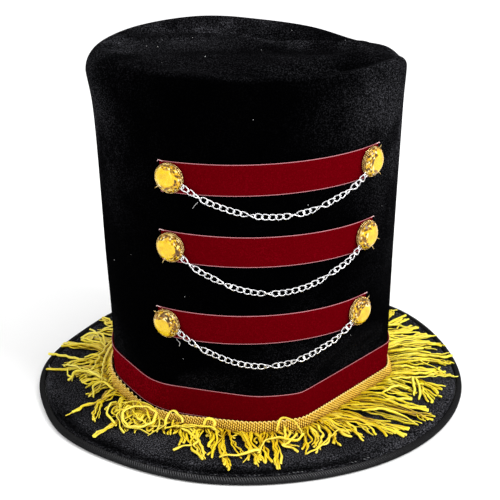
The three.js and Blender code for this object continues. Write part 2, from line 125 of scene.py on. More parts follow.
# The brim is pinched in a groove along the welt, from the left to the front; dark is the painted shade in
# it.
GROOVE = {"inset": 2.5, "width": 11, "depth": 0.9, "dark": 0.85, "from": -84, "to": 30, "fade": 18}
# Stitches show here and there along the seam above the welt: missing is the share that
# doesn't show, and inset is how far they lie from the brim's outer edge.
STITCHES = {"from": -24, "to": 22, "step": 1.15, "missing": 0.68, "inset": 1.1, "radius": 0.14}

RIBBON_WIDTH = 20
RIBBON_THICKNESS = 1.2
RIBBON_BULGE = 0.15
BAND_BOTTOM = 12.5
RIBBON_OVERRUN = 7.4
SELVEDGE = {"radius": 0.22, "sunk": 0.25}
# A frayed thread at each end of a ribbon: turns past the end, and places off the wall and
# over the ribbon's upper edge.
FRAYED = {"turns": (-1.2, -0.2, 0.35, 0.8), "out": (1.2, 1.4, 1.5, 1.0), "rise": (0, 0.3, 0.4, -0.5)}

# The rows of studs and chains. A chain turns half over at some places along it.
ROWS = table(
    "name chain_low half_turns",
    ("top", 159.7, [0.10, 0.36, 0.58, 0.72, 0.90]),
    ("middle", 107.8, [0.06, 0.25, 0.47, 0.80]),
    ("lower", 55.5, [0.14, 0.52, 0.66, 0.94]),
)
# A chain leaves its stud at an angle below the level. Each stud's painted reflection is the
# bright patch painted on its stone: its place across and up, and how far it reaches each way.
STUDS = table(
    "row side bearing z chain_angle glow bright claws",
    ("top", "left", -36.3, 182, 26, (-1.6, 1.2, 8.2, 5.4), 0.74, (218,)),
    ("top", "right", 37, 186, 45, (3.6, 0.6, 5.2, 8.4), 0.62, (62, 305)),
    ("middle", "left", -37, 135.5, 34, (-1.8, -0.8, 7.6, 6.2), 0.73, (245,)),
    ("middle", "right", 36.3, 136.5, 42, (1.8, 0.0, 6.2, 6.8), 0.61, (335, 296)),
    ("lower", "left", -40.2, 80.5, 24, (-2.4, -2.4, 7.4, 6.4), 0.72, (96, 134)),
    ("lower", "right", 35, 83, 36, (2.0, -2.6, 7.4, 5.8), 0.61, (58,)),
)
for row in ROWS:
    row.update({stud["side"]: stud for stud in STUDS if stud["row"] == row["name"]})
# The rings of a stone's corners, from its table down to its back.
STONE = table(
    "radius z corners turned",
    (4.9, 5.5, 8, 0),
    (6.2, 5.1, 16, 0.5),
    (7.2, 4.5, 24, 0.25),
    (8.1, 3.8, 24, 0.75),
    (8.9, 2.9, 24, 0.25),
    (9.35, 1.7, 24, 0.25),
    (7.6, 0.5, 24, 0.25),
)
SETTING_RADIUS = 9.9
# The wires of a setting. Out is counted from the setting's radius.
RINGS = table("out z wire", (-0.35, 0.4, 0.22), (-1.3, 0.4, 0.35), (-0.35, 2.1, 0.17))
LATTICE = {
    "count": 24, "lean": (0, 5, 10, 15), "out": (-0.35, -0.2, -0.2, -0.35), "z": (0.4, 0.9, 1.5, 2.1),
}
PRONGS = {"count": 16, "first": 5, "out": (-0.3, -0.2, -0.5, -0.8), "z": (0.5, 1.9, 2.6, 3.1)}
CLAWS = {"out": (-0.6, 0.6, 1.9), "z": (2.2, 3.0, 3.4), "wire": (0.34, 0.26, 0.1)}
# A chain stands further out over its ribbon, over the stretch below the ribbon's edge.
CHAIN = {"diameter": 4.2, "clearance": 0.7, "out_from": 9, "out_to": 3}
# A curb link, the stretch over which the chain turns half over, as a share of its length,
# and how far each link rolls to and fro.
LINK = {
    "half_length": 2.7, "half_width": 1.75, "twist": 0.62, "wire": 0.43, "pitch": 4.35,
    "turns_over": 0.11, "roll": 0.12,
}
END_RING = {"radius": 1.7, "wire": 0.36, "toward_stud": 0.9}

# The woven header of the fringe: how far its lower and upper edges stand off the crown's
# wall, and the height of its upper edge.
HEADER = table(
    "bearing foot head top",
    (-150, 7.4, 3.4, 13.8), (-104, 7.6, 3.8, 14.2), (-80, 7.2, 3.4, 12.4),
    (-62, 7.4, 3.2, 10.3), (-46, 7.0, 2.8, 11.4), (-30, 6.2, 2.5, 11.7),
    (-14, 5.8, 2.4, 13.0), (12, 5.4, 2.4, 13.3), (42, 4.3, 2.3, 13.6),
    (80, 5.6, 2.6, 13.8), (130, 7.0, 3.2, 13.8),
)
HEADER_BOTTOM = 6.2

SEEDS = {"stitches": 3, "back_clumps": 5, "lint": 8, "fringe": 11}


# ------------------------------------------------------------------ numbers


def lerp(start, end, along):
    return start + (end - start) * along


def smoothstep(value, low, high):
    along = np.clip((value - low) / (high - low), 0, 1)
    return along * along * (3 - 2 * along)


def window(value, rise_from, rise_to, fall_from, fall_to):
    """It rises from 0 to 1 over one stretch of the value and falls back over another."""
    return smoothstep(value, rise_from, rise_to) * (1 - smoothstep(value, fall_from, fall_to))


def bell(distance, width):
    """A bell that is 1 in the middle and falls away over the width."""
    return np.exp(-((distance / width) ** 2))


def unit(vectors):
    return vectors / np.linalg.norm(vectors, axis=-1, keepdims=True)


def turn_from(start, end):
    """The smaller angle from one bearing to another."""
    return (end - start + 180) % 360 - 180


def at(bearing, radius, z):
    """The points at some bearings, distances from the axis and heights."""
    angle = np.radians(bearing)
    parts = np.broadcast_arrays(radius * np.sin(angle), -radius * np.cos(angle), z)
    return np.stack(parts, axis=-1)


def bearings_of(points):
    return np.degrees(np.arctan2(points[:, 0], -points[:, 1]))


def turned_line(angle, radius, z):
    """A line of points given by their angles round a shape's own Z axis, radii and heights."""
    parts = np.broadcast_arrays(radius * np.cos(angle), radius * np.sin(angle), z)
    return np.stack(parts, axis=-1)


def ring_line(radius, z, count, turned=0.0):
    return turned_line((np.arange(count) + turned) / count * 2 * math.pi, radius, float(z))


def curve_through(rows, key, column, place, period=0):
    """A smooth curve through one column of a table. With a period, it closes on itself."""
    xs = [float(row[key]) for row in rows]
    ys = [float(row[column]) for row in rows]
    place = np.asarray(place, float)
    if period:
        place = xs[0] + (place - xs[0]) % period
        xs = [xs[-1] - period, *xs, xs[0] + period, xs[1] + period]
        ys = [ys[-1], *ys, ys[0], ys[1]]
    else:
        xs = [xs[0], *xs, xs[-1]]
        ys = [ys[0], *ys, ys[-1]]
    xs, ys = np.array(xs), np.array(ys)
    slopes = (ys[2:] - ys[:-2]) / (xs[2:] - xs[:-2])
    knots, values = xs[1:-1], ys[1:-1]
    low = np.clip(np.searchsorted(knots, place, side="right") - 1, 0, len(knots) - 2)
    span = knots[low + 1] - knots[low]
    t = np.clip((place - knots[low]) / span, 0, 1)
    from_start = (1 + 2 * t) * values[low] + t * span * slopes[low]
    from_end = (3 - 2 * t) * values[low + 1] - (1 - t) * span * slopes[low + 1]
    return from_start * (1 - t) ** 2 + from_end * t**2


def lengths_along(line):
    """The length of a line from its start to each of its points."""
    return np.concatenate([[0], np.cumsum(np.linalg.norm(np.diff(line, axis=0), axis=1))])


def resampled(line, steps):
    """The line cut into equal steps."""
    lengths = lengths_along(line)
    places = np.linspace(0, lengths[-1], steps)
    return np.stack([np.interp(places, lengths, line[:, axis]) for axis in range(3)], 1)


def smooth_line(points, steps):
    """A curve through a few points, cut into equal steps."""
    points = np.asarray(points, float)
    padded = np.concatenate([2 * points[:1] - points[1:2], points, 2 * points[-1:] - points[-2:-1]])
    t = np.linspace(0, 1, 12, endpoint=False)[:, None]
    pieces = []
    for before, start, end, after in zip(padded, padded[1:], padded[2:], padded[3:]):
        slope, next_slope = (end - before) / 2, (after - start) / 2
        pieces.append(
            (1 + 2 * t) * (1 - t) ** 2 * start
            + t * (1 - t) ** 2 * slope
            + t**2 * (3 - 2 * t) * end
            - t**2 * (1 - t) * next_slope
        )
    return resampled(np.concatenate([*pieces, points[-1:]]), steps)


# ------------------------------------------------------------------ shapes
# A shape is a dict of points, faces (arrays of corner numbers) and their UVs in
# millimetres, with a tone that its material may read, from 0 for dark to 1 and more for
# lit: one for each point, or for each face where it has face_tones.

# A rounded end: how far each of its two rings stands out, and how wide it is, in radii.
ROUNDED_END = [(0.75, 0.5), (0.45, 0.85)]


def shape_of(points, faces, uvs, tone=0.5):
    points = np.asarray(points, float).reshape(-1, 3)
    return {"points": points, "faces": faces, "uvs": uvs, "tone": np.full(len(points), tone)}


def toned_along(shape, sides, values):
    """The tube with a tone that runs through some values from its start to its end."""
    rows = (len(shape["points"]) - 2) // sides
    tone = np.interp(np.linspace(0, 1, rows), np.linspace(0, 1, len(values)), values)
    return {**shape, "tone": np.concatenate([np.repeat(tone, sides), [values[0], values[-1]]])}


def corner_tones(shape):
    """The tone at each corner of each face."""
    if "face_tones" in shape:
        pairs = zip(shape["faces"], shape["face_tones"])
        return np.concatenate([np.repeat(tones, corners.shape[1]) for corners, tones in pairs])
    return np.concatenate([shape["tone"][corners].ravel() for corners in shape["faces"]])


def grid_faces(rows, columns, along, across):
    """The quads between rows of points that close into rings, and their corners' UVs."""
    i, j = np.meshgrid(np.arange(rows - 1), np.arange(columns), indexing="ij")
    i, j = i.ravel(), j.ravel()
    k = (j + 1) % columns
    here, above = i * columns, (i + 1) * columns
    quads = np.stack([here + j, here + k, above + k, above + j], 1)
    u = np.stack([across[j], across[j + 1], across[j + 1], across[j]], 1)
    v = np.stack([along[i], along[i], along[i + 1], along[i + 1]], 1)
    return quads, np.stack([u, v], 2)


def outward(shape):
    """The closed shape with its faces pointing out."""
    points = shape["points"] - shape["points"].mean(axis=0)
    volume = 0.0
    for faces in shape["faces"]:
        first = points[faces[:, 0]]
        for corner in range(1, faces.shape[1] - 1):
            second, third = points[faces[:, corner]], points[faces[:, corner + 1]]
            volume += np.einsum("ij,ij->", first, np.cross(second, third))
    if volume < 0:
        shape["faces"] = [faces[:, ::-1] for faces in shape["faces"]]
        shape["uvs"] = [uvs[:, ::-1] for uvs in shape["uvs"]]
    return shape


def loft(rings, joined=False, along=None, across=None, tone=0.5):
    """A closed shape through rings of points. The last ring is joined to the first, or the
    end ones are closed by a fan round their middle."""
    rings = np.asarray(rings, float)
    rows, columns = rings.shape[:2]
    along = np.arange(rows + 1.0) if along is None else along
    across = np.arange(columns + 1.0) if across is None else across
    if joined:
        quads, uvs = grid_faces(rows + 1, columns, along, across)
        return outward(shape_of(rings, [quads % (rows * columns)], [uvs], tone))
    quads, uvs = grid_faces(rows, columns, along, across)
    points = np.concatenate([rings.reshape(-1, 3), rings[[0, -1]].mean(axis=1)])
    j = np.arange(columns)
    k = (j + 1) % columns
    count, last = rows * columns, (rows - 1) * columns
    fans = np.concatenate([
        np.stack([np.full(columns, count), k, j], 1),
        np.stack([np.full(columns, count + 1), last + j, last + k], 1),
    ])
    u = np.tile(np.stack([across[:-1], across[:-1], across[1:]], 1), (2, 1))
    v = np.repeat([along[0], along[rows - 1]], columns)[:, None] + 0 * u
    return outward(shape_of(points, [quads, fans], [uvs, np.stack([u, v], 2)], tone))


def tube(line, radius, sides, closed=False, tone=0.5, squash=1.0, rolls=(0, 0)):
    """A tube along a line of points. An open one has rounded ends. Squashed, it is a flat
    strip, which turns through the rolls from its start to its end."""
    line = np.asarray(line, float)
    radii = np.broadcast_to(np.asarray(radius, float), len(line))
    if closed:
        tangents = unit(np.roll(line, -1, 0) - np.roll(line, 1, 0))
    else:
        line, radii = round_ends(line, radii)
        tangents = unit(np.gradient(line, axis=0))
    normals = carried_normals(tangents, closed)
    sideways = np.cross(tangents, normals)
    roll = np.interp(np.linspace(0, 1, len(line)), np.linspace(0, 1, len(rolls)), rolls)[:, None]
    turned = np.cos(roll) * sideways + np.sin(roll) * normals
    normals = np.cos(roll) * normals - np.sin(roll) * sideways
    angle = (np.arange(sides) / sides * 2 * math.pi)[None, :, None]
    out = np.cos(angle) * turned[:, None] + squash * np.sin(angle) * normals[:, None]
    rings = line[:, None] + radii[:, None, None] * out
    along = lengths_along(np.concatenate([line, line[:1]]))
    across = np.arange(sides + 1) / sides * 2 * math.pi * radii.max()
    return loft(rings, closed, along, across, tone)


def round_ends(line, radii):
    """The line and its radii with two more points at each end, for a rounded tip."""
    first, last = unit(line[1] - line[0]), unit(line[-1] - line[-2])
    start, end = radii[0], radii[-1]
    head = [line[0] - first * start * out for out, _ in ROUNDED_END]
    tail = [line[-1] + last * end * out for out, _ in ROUNDED_END[::-1]]
    before = [start * width for _, width in ROUNDED_END]
    after = [end * width for _, width in ROUNDED_END[::-1]]
    return np.concatenate([head, line, tail]), np.array([*before, *radii, *after])


def carried_normals(tangents, closed):
    """Normals carried along a line without twist, from one that points up. Round a closed
    line, the twist that is left over is spread out evenly."""
    normal = np.array([0.0, 0.0, 1.0]) - tangents[0] * tangents[0][2]
    if np.linalg.norm(normal) < 1e-3:
        normal = np.cross(tangents[0], [1.0, 0.3, 0.2])
    normals = [unit(normal)]
    for tangent in tangents[1:]:
        normals.append(unit(normals[-1] - tangent * (normals[-1] @ tangent)))
    normals = np.array(normals)
    if closed:
        back = normals[-1] - tangents[0] * (normals[-1] @ tangents[0])
        side = np.cross(tangents[0], normals[0])
        twist = math.atan2(back @ side, back @ normals[0])
        turn = -twist * np.arange(len(tangents))[:, None] / len(tangents)
        normals = np.cos(turn) * normals + np.sin(turn) * np.cross(tangents, normals)
    return normals


def bead(middle, radius):
    """A small round bead."""
    angles = np.radians([22.5, 67.5, 112.5, 157.5])
    rings = np.array([ring_line(math.sin(angle), math.cos(angle), 6) for angle in angles])
    return loft(np.asarray(middle) + radius * rings)


def moved(shape, origin, axes):
    """The shape taken from a local frame to the hat's."""
    return {**shape, "points": origin + shape["points"] @ np.asarray(axes)}


def add_piece(name, shapes, look, stands_for=(), smooth=True):
    """Makes one Blender object from shapes. It rides with the hat and stands for nodes."""
    faces, uvs = [], []
    first = 0
    for shape in shapes:
        for corners, places in zip(shape["faces"], shape["uvs"]):
            faces.extend((corners + first).tolist())
            uvs.append(places.reshape(-1, 2))
        first += len(shape["points"])
    points = np.concatenate([shape["points"] for shape in shapes])
    tones = np.concatenate([corner_tones(shape) for shape in shapes])
    mesh = bpy.data.meshes.new(name)
    mesh.from_pydata((points * MM).tolist(), [], faces)
    mesh.uv_layers.new(name="lengths").data.foreach_set("uv", (np.concatenate(uvs) * MM).ravel())
    mesh.attributes.new("tone", "FLOAT", "CORNER").data.foreach_set("value", tones)
    mesh.polygons.foreach_set("use_smooth", [smooth] * len(faces))
    mesh.materials.append(look)
    mesh.update()
    piece = bpy.data.objects.new(name, mesh)
    bpy.context.collection.objects.link(piece)
    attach(piece, "root")
    if stands_for:
        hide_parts(*stands_for)
    return piece


# ------------------------------------------------------------------ materials


def feed(tree, made, inputs):
    """Sets the inputs of a node to values, or joins them to other sockets."""
    for name, value in inputs.items():
        if isinstance(value, bpy.types.NodeSocket):
            tree.links.new(value, made.inputs[name])
        else:
            made.inputs[name].default_value = value


def node(tree, kind, inputs, **settings):
    """A shader node with its inputs fed and its own settings made."""
    made = tree.nodes.new(f"ShaderNode{kind}")
    for name, value in settings.items():
        setattr(made, name, value)
    feed(tree, made, inputs)
    return made


def new_look(name):
    """A material, its tree, and what its nodes may read: the place on the hat and the tone."""
    look = bpy.data.materials.new(name)
    look.use_nodes = True
    tree = look.node_tree
    where = node(tree, "TexCoord", {}).outputs["Object"]
    tone = node(tree, "Attribute", {}, attribute_name="tone").outputs["Fac"]
    return look, tree, where, tone


def shaded(look, relief=None, **sockets):
    """The look with its shader's sockets fed. A relief is a height, its strength and depth."""
    tree = look.node_tree
    inputs = {socket.replace("_", " "): value for socket, value in sockets.items()}
    if relief:
        height, strength, depth = relief
        bump = node(tree, "Bump", {"Height": height, "Strength": strength, "Distance": depth})
        inputs["Normal"] = bump.outputs["Normal"]
    feed(tree, tree.nodes["Principled BSDF"], inputs)
    return look


def noise(tree, where, scale, detail=2.0, roughness=0.5):
    inputs = {"Vector": where, "Scale": scale, "Detail": detail, "Roughness": roughness}
    return node(tree, "TexNoise", inputs).outputs["Fac"]


def stretched(tree, value, low, high, to_low=0.0, to_high=1.0):
    """The value with the span from low to high mapped to another."""
    inputs = {"Value": value, "From Min": low, "From Max": high, "To Min": to_low, "To Max": to_high}
    return node(tree, "MapRange", inputs).outputs["Result"]


def ramp(tree, factor, stops):
    """A colour ramp through (position, grey or colour) stops."""
    made = node(tree, "ValToRGB", {"Fac": factor})
    elements = made.color_ramp.elements
    while len(elements) < len(stops):
        elements.new(0.5)
    for element, (position, colour) in zip(elements, stops):
        grey = isinstance(colour, (int, float))
        element.position = position
        element.color = (*((colour,) * 3 if grey else colour), 1)
    return made.outputs["Color"]


def mixed(tree, factor, first, second, blend="MIX"):
    made = node(tree, "Mix", {}, data_type="RGBA", blend_type=blend)
    sockets = {socket.name: socket for socket in made.inputs if socket.enabled}
    for name, value in (("Factor", factor), ("A", first), ("B", second)):
        if isinstance(value, bpy.types.NodeSocket):
            tree.links.new(value, sockets[name])
        else:
            sockets[name].default_value = value if name == "Factor" else (*value, 1)
    return next(socket for socket in made.outputs if socket.enabled)


def times(tree, first, second):
    return mixed(tree, 1.0, first, second, "MULTIPLY")


def velvet(name, deep, lit, sheen, sheen_tint, patch, relief, lengthen=0.5):
    """Cut pile: a matt base that catches light at a slant, with a speckle of tufts, which
    are longer from front to back. They are lit by painted light in the shape's tone, and by
    broader patches where the pile lies another way."""
    look, tree, where, tone = new_look(name)
    drawn_out = node(tree, "Mapping", {"Vector": where, "Scale": (1.0, lengthen, 1.0)})
    tufts = noise(tree, drawn_out.outputs["Vector"], scale=1100, roughness=0.7)
    brushed = noise(tree, where, scale=30, detail=4, roughness=0.6)
    speckle = ramp(tree, tufts, [(0.47, 0.04), (0.56, 0.3), (0.64, 1.0)])
    patches = ramp(tree, brushed, [(0.36, 1.0 - patch), (0.62, 1.0)])
    amount = times(tree, times(tree, speckle, patches), tone)
    return shaded(
        look,
        relief=(tufts, relief, 0.001),
        Base_Color=mixed(tree, amount, deep, lit),
        Roughness=0.95,
        Specular_IOR_Level=0.0,
        Sheen_Weight=sheen,
        Sheen_Roughness=0.25,
        Sheen_Tint=(*sheen_tint, 1),
    )


def painted_crevice_shade(tree, reach, shade):
    """Painted shade: white that goes to the shade colour where a surface lies close to another one."""
    open_sky = node(tree, "AmbientOcclusion", {"Distance": reach}, samples=6).outputs["AO"]
    return ramp(tree, open_sky, [(0.2, shade), (0.8, (1.0, 1.0, 1.0))])


def welt_look():
    """The corded binding round the brim: black thread whose slanting ribs carry a painted grey highlight.
    """
    look, tree, where, tone = new_look("edge_cord")
    fibres = noise(tree, where, scale=900, detail=3, roughness=0.6)
    amount = times(tree, tone, ramp(tree, fibres, [(0.35, 0.35), (0.65, 1.0)]))
    colour = mixed(tree, amount, (0.001, 0.001, 0.0012), (0.24, 0.24, 0.25))
    relief = (fibres, 0.3, 0.0004)
    return shaded(look, relief, Base_Color=colour, Roughness=0.8, Specular_IOR_Level=0.04)


def thread_look(name, stops, shade, roughness=0.6, gloss=0.4, tints=((0.0, 1.0), (1.0, 1.0))):
    """Twisted thread: slanting plies along it, coloured through the stops by its tone and
    with painted shade in its crevices. The tints go from the hat's left side to its right."""
    look, tree, where, tone = new_look(name)
    uv = node(tree, "TexCoord", {}).outputs["UV"]
    slant = node(tree, "Mapping", {"Vector": uv, "Rotation": (0, 0, math.radians(38))})
    inputs = {"Vector": slant.outputs["Vector"], "Scale": 330.0, "Distortion": 0.4, "Detail": 1.0}
    plies = node(tree, "TexWave", inputs).outputs["Fac"]
    amount = mixed(tree, 0.25, tone, noise(tree, where, scale=160))
    amount = mixed(tree, 0.15, amount, plies)
    colour = times(tree, ramp(tree, amount, stops), painted_crevice_shade(tree, 0.004, shade))
    side = node(tree, "SeparateXYZ", {"Vector": where}).outputs["X"]
    colour = times(tree, colour, ramp(tree, stretched(tree, side, -0.15, 0.15), tints))
    relief = (plies, 0.3, 0.0003)
    return shaded(look, relief, Base_Color=colour, Roughness=roughness, Specular_IOR_Level=gloss)


def metal_look(name, dark, bright, roughness, scale):
    """Cast or drawn metal: brighter where it is rubbed, duller in between."""
    look, tree, where, _ = new_look(name)
    tarnish = noise(tree, where, scale, detail=4, roughness=0.6)
    colour = ramp(tree, tarnish, [(0.35, dark), (0.62, bright)])
    gloss = stretched(tree, tarnish, 0.0, 1.0, roughness * 1.6, roughness * 0.6)
    return shaded(look, (tarnish, 0.12, 0.0002), Base_Color=colour, Metallic=1.0, Roughness=gloss)


def stone_look():
    """Foil-backed amber glass: each facet has its own tone, from brown to bright yellow and
    pale straw. The bright yellow facets of each stud's patch are a painted reflection."""
    look, tree, where, tone = new_look("amber_stone")
    clouds = ramp(tree, noise(tree, where, scale=260), [(0.34, 0.35), (0.66, 1.0)])
    return shaded(
        look,
        Base_Color=ramp(tree, mixed(tree, 0.22, tone, clouds), STONE_STOPS),
        Roughness=0.16,
        IOR=1.5,
        Coat_Weight=0.12,
        Coat_Roughness=0.02,
        Specular_IOR_Level=0.25,
    )


def speckled_look(name, stops, scale, **sockets):
    """A plain matt surface whose grey varies a little from place to place."""
    look, tree, where, _ = new_look(name)
    colour = ramp(tree, noise(tree, where, scale), stops)
    return shaded(look, Base_Color=colour, Roughness=0.9, **sockets)


NIGHT = {"deep": (0.0002, 0.0002, 0.0003), "lit": (0.095, 0.095, 0.108), "sheen_tint": (0.9, 0.9, 1.0)}
WINE = {"deep": (0.086, 0.0001, 0.0015), "lit": (0.196, 0.0008, 0.0060), "sheen_tint": (1.0, 0.2, 0.25)}
BLACK_VELVET = velvet("black_velvet", **NIGHT, sheen=0.005, patch=0.8, relief=1.0)
BRIM_VELVET = velvet("brim_velvet", **NIGHT, sheen=0.005, patch=0.6, relief=0.6, lengthen=0.9)
RED_VELVET = velvet("red_velvet", **WINE, sheen=0.004, patch=0.4, relief=0.1)
EDGE_CORD = welt_look()
FRINGE_STOPS = [
    (0.05, (0.24, 0.11, 0.001)),
    (0.35, (0.74, 0.53, 0.006)),
    (0.60, (0.95, 0.80, 0.018)),
    (0.95, (0.98, 0.90, 0.13)),
]
FRINGE_TINTS = [
    (0.10, (1.0, 0.97, 1.0)),
    (0.45, (1.0, 0.87, 0.9)),
    (0.65, (1.0, 0.89, 0.9)),
    (0.85, (1.0, 1.0, 0.8)),
]
HEADER_STOPS = [
    (0.10, (0.16, 0.065, 0.002)),
    (0.45, (0.82, 0.47, 0.020)),
    (0.75, (0.96, 0.70, 0.13)),
    (0.95, (0.97, 0.87, 0.48)),
]
SELVEDGE_STOPS = [(0.15, (0.30, 0.03, 0.05)), (0.7, (0.62, 0.27, 0.30)), (0.9, (0.85, 0.66, 0.66))]
STITCH_STOPS = [(0.15, (0.04, 0.04, 0.045)), (0.7, (0.50, 0.50, 0.50))]
STONE_STOPS = [
    (0.05, (0.012, 0.005, 0.001)),
    (0.30, (0.20, 0.085, 0.005)),
    (0.52, (0.58, 0.30, 0.006)),
    (0.76, (0.80, 0.55, 0.012)),
    (0.94, (0.80, 0.70, 0.36)),
]
FRINGE_THREAD = thread_look(
    "yellow_fringe",
    FRINGE_STOPS,
    shade=(0.16, 0.045, 0.004),
    roughness=0.32,
    gloss=0.5,
    tints=FRINGE_TINTS,
)
HEADER_THREAD = thread_look(
    "woven_header", HEADER_STOPS, shade=(0.18, 0.06, 0.01), roughness=0.5, gloss=0.3
)
SELVEDGE_THREAD = thread_look("selvedge", SELVEDGE_STOPS, shade=(0.3, 0.1, 0.1))
STITCH_THREAD = thread_look("stitch", STITCH_STOPS, shade=(0.3, 0.3, 0.3))
GOLD = metal_look("gold", (0.40, 0.20, 0.03), (1.0, 0.78, 0.34), roughness=0.25, scale=500)
SILVER = metal_look("silver", (0.55, 0.56, 0.58), (0.97, 0.97, 0.98), roughness=0.2, scale=400)
AMBER = stone_look()
LINT = speckled_look("lint", [(0.4, 0.12), (0.6, 0.6)], scale=40)
FLOOR = speckled_look("floor", [(0.3, 0.96), (0.7, 0.98)], scale=3, Specular_IOR_Level=0.1)


# ------------------------------------------------------------------ painted light

# Painted light and shade on the black velvet: places painted lighter, or darker where lit
# is below 0.
PAINTED_LIGHT_SPOTS = table(
    "on bearing radius z reach lit",
    ("wall", -93, 104, 205, 48, 0.62),
    ("wall", -86, 100, 36, 26, 0.30),
    ("wall", 74, 104, 206, 48, 1.2),
    ("wall", 76, 102, 120, 50, 0.14),
    ("wall", 36, 104, 226, 34, 0.32),
    ("wall", 44, 96, 50, 30, -0.12),
    ("wall", 160, 104, 130, 80, 0.60),
    ("wall", -140, 104, 180, 55, 0.45),
    ("tip", -98, 82, 246, 34, 0.46),
    ("tip", -140, 76, 246, 34, 0.46),
    ("tip", 184, 92, 248, 26, 0.50),
    ("tip", 160, 90, 240, 22, 0.22),
    ("tip", 14, 88, 240, 13, -0.15),
    ("tip", 34, 86, 238, 15, -0.20),
    ("tip", 54, 84, 238, 17, -0.06),
    ("tip", 72, 80, 238, 22, 0.12),
    ("brim", 78, 152, 5, 60, 0.60),
    ("brim", -70, 140, 5, 36, -0.52),
)
# Painted light over all the wall and the brim, and over the tip from its front to its back.
WALL_PAINTED_LIGHT, BRIM_PAINTED_LIGHT = 0.01, 1.22
TIP_PAINTED_LIGHT = {"front": 0.16, "back": 0.24, "from": -80, "to": 30}
# Along the tip's creases: a painted highlight on their tops and painted shade behind them.
CREASE = {"line": 1.6, "glint": 1.0, "shade": 0.42}


def with_painted_light(shape, base, shares):
    """The shape with its tone from painted light: a base, and more near each lit place. The
    shares say how much each point takes of the places on the wall, the tip or the brim."""
    tone = base + 0 * shape["points"][:, 0]
    for spot in PAINTED_LIGHT_SPOTS:
        middle = at(spot["bearing"], spot["radius"], spot["z"])
        away = np.linalg.norm(shape["points"] - middle, axis=1)
        tone = tone + shares.get(spot["on"], 0) * spot["lit"] * bell(away, spot["reach"])
    return {**shape, "tone": np.clip(tone, 0, 2)}


# ------------------------------------------------------------------ crown

# How many rings each skin of the crown has: up its wall, round its top edge, over the
# blend inside the edge, and to near the middle of its tip.
OUTSIDE_RINGS = {"wall": 84, "roll": 12, "blend": 14, "tip": 56}
INSIDE_RINGS = {"wall": 20, "roll": 4, "blend": 4, "tip": 8}


def wall_radius(bearing, z):
    """The distance from the axis to the outside of the crown's wall."""
    lean = curve_through(PROFILE, "z", "lean", z) * np.cos(np.radians(bearing - LEAN_BEARING))
    plain = curve_through(PROFILE, "z", "radius", z) + lean
    full = SWELL["height"] * smoothstep(z, SWELL["from"], SWELL["to"])
    radius = plain + full * bell(turn_from(0, bearing), SWELL["width"])
    soft = FLAT["softness"]
    for flat in FLATS:
        off = turn_from(flat["bearing"], bearing)
        near = np.abs(off) <= FLAT["reach"]
        faded = smoothstep(z, FLAT["fade_from"], flat["fade_top"])
        slant = np.cos(np.radians(np.where(near, off, 0)))
        pressed = lerp(flat["distance"], plain + FLAT["clear"], faded) / slant
        both = np.exp(-radius / soft) + np.exp(-pressed / soft)
        radius = np.where(near, -soft * np.log(both), radius)
    return radius


def rim_at(bearing):
    """The crest, the roll and the outline of the top edge."""
    crest = curve_through(RIM, "bearing", "crest", bearing, 360)
    roll = curve_through(RIM, "bearing", "roll", bearing, 360)
    return crest, roll, wall_radius(bearing, crest - roll)


def fold_place(fold, x, y):
    """How far along a fold a place lies, from 0 to 1, and how far behind it."""
    start, end = np.array(fold["start"]), np.array(fold["end"])
    length = np.linalg.norm(end - start)
    ahead = (end - start) / length
    along = ((x - start[0]) * ahead[0] + (y - start[1]) * ahead[1]) / length
    return along, (y - start[1]) * ahead[0] - (x - start[0]) * ahead[1]


def tip_height(x, y):
    """The height of the tip with its swellings, hollows and folds, away from the edge."""
    height = TIP_LEVEL + 0 * x
    for shape in TIP_SHAPES:
        turn = math.radians(shape["turn"])
        right, back = x - shape["x"], y - shape["y"]
        along = bell(right * math.cos(turn) + back * math.sin(turn), shape["length"])
        across = bell(back * math.cos(turn) - right * math.sin(turn), shape["width"])
        height = height + shape["height"] * along * across
    for fold in TIP_FOLDS:
        along, behind = fold_place(fold, x, y)
        width = np.where(behind > 0, fold["back"], fold["front"])
        ends = window(along, -0.3, 0.2, 0.75, 1.3)
        height = height + fold["height"] * ends * np.exp(-np.abs(behind / width) ** 1.5)
    return height


def tip_base(y):
    return lerp(TIP_PAINTED_LIGHT["front"], TIP_PAINTED_LIGHT["back"], smoothstep(y, TIP_PAINTED_LIGHT["from"], TIP_PAINTED_LIGHT["to"]))


def tip_tone(x, y):
    """Painted light on the tip: lit in front of its creases, with a painted highlight along
    their tops, and painted shade in the hollows behind them."""
    tone = tip_base(y)
    line = CREASE["line"]
    for fold in TIP_FOLDS:
        along, behind = fold_place(fold, x, y)
        front = bell(np.minimum(behind, 0), 1.3 * fold["front"]) * (1 - smoothstep(behind, 0, line))
        top = CREASE["glint"] * bell(behind, line)
        hollow = CREASE["shade"] * window(behind, 0, line, 0.4 * fold["dark"], fold["dark"])
        tone = tone + fold["lit"] * window(along, -0.2, 0.2, 0.85, 1.2) * (front + top - hollow)
    return tone


def seam_dip(bearing):
    """The depth of the seam up the back of the crown, and the slight puff beside it."""
    off = np.radians(turn_from(BACK_SEAM["bearing"], bearing)) * BACK_SEAM["radius"]
    puff = bell(np.abs(off) - BACK_SEAM["puff_at"], BACK_SEAM["puff_width"])
    return BACK_SEAM["depth"] * bell(off, BACK_SEAM["width"]) - BACK_SEAM["puff"] * puff


def crown_bearings():
    """Steps of one degree, and finer ones at the back seam."""
    fine = np.array([0.15, 0.3, 0.5, 0.75])
    return np.sort(np.concatenate([ROUND, -180 + fine, 180 - fine]))


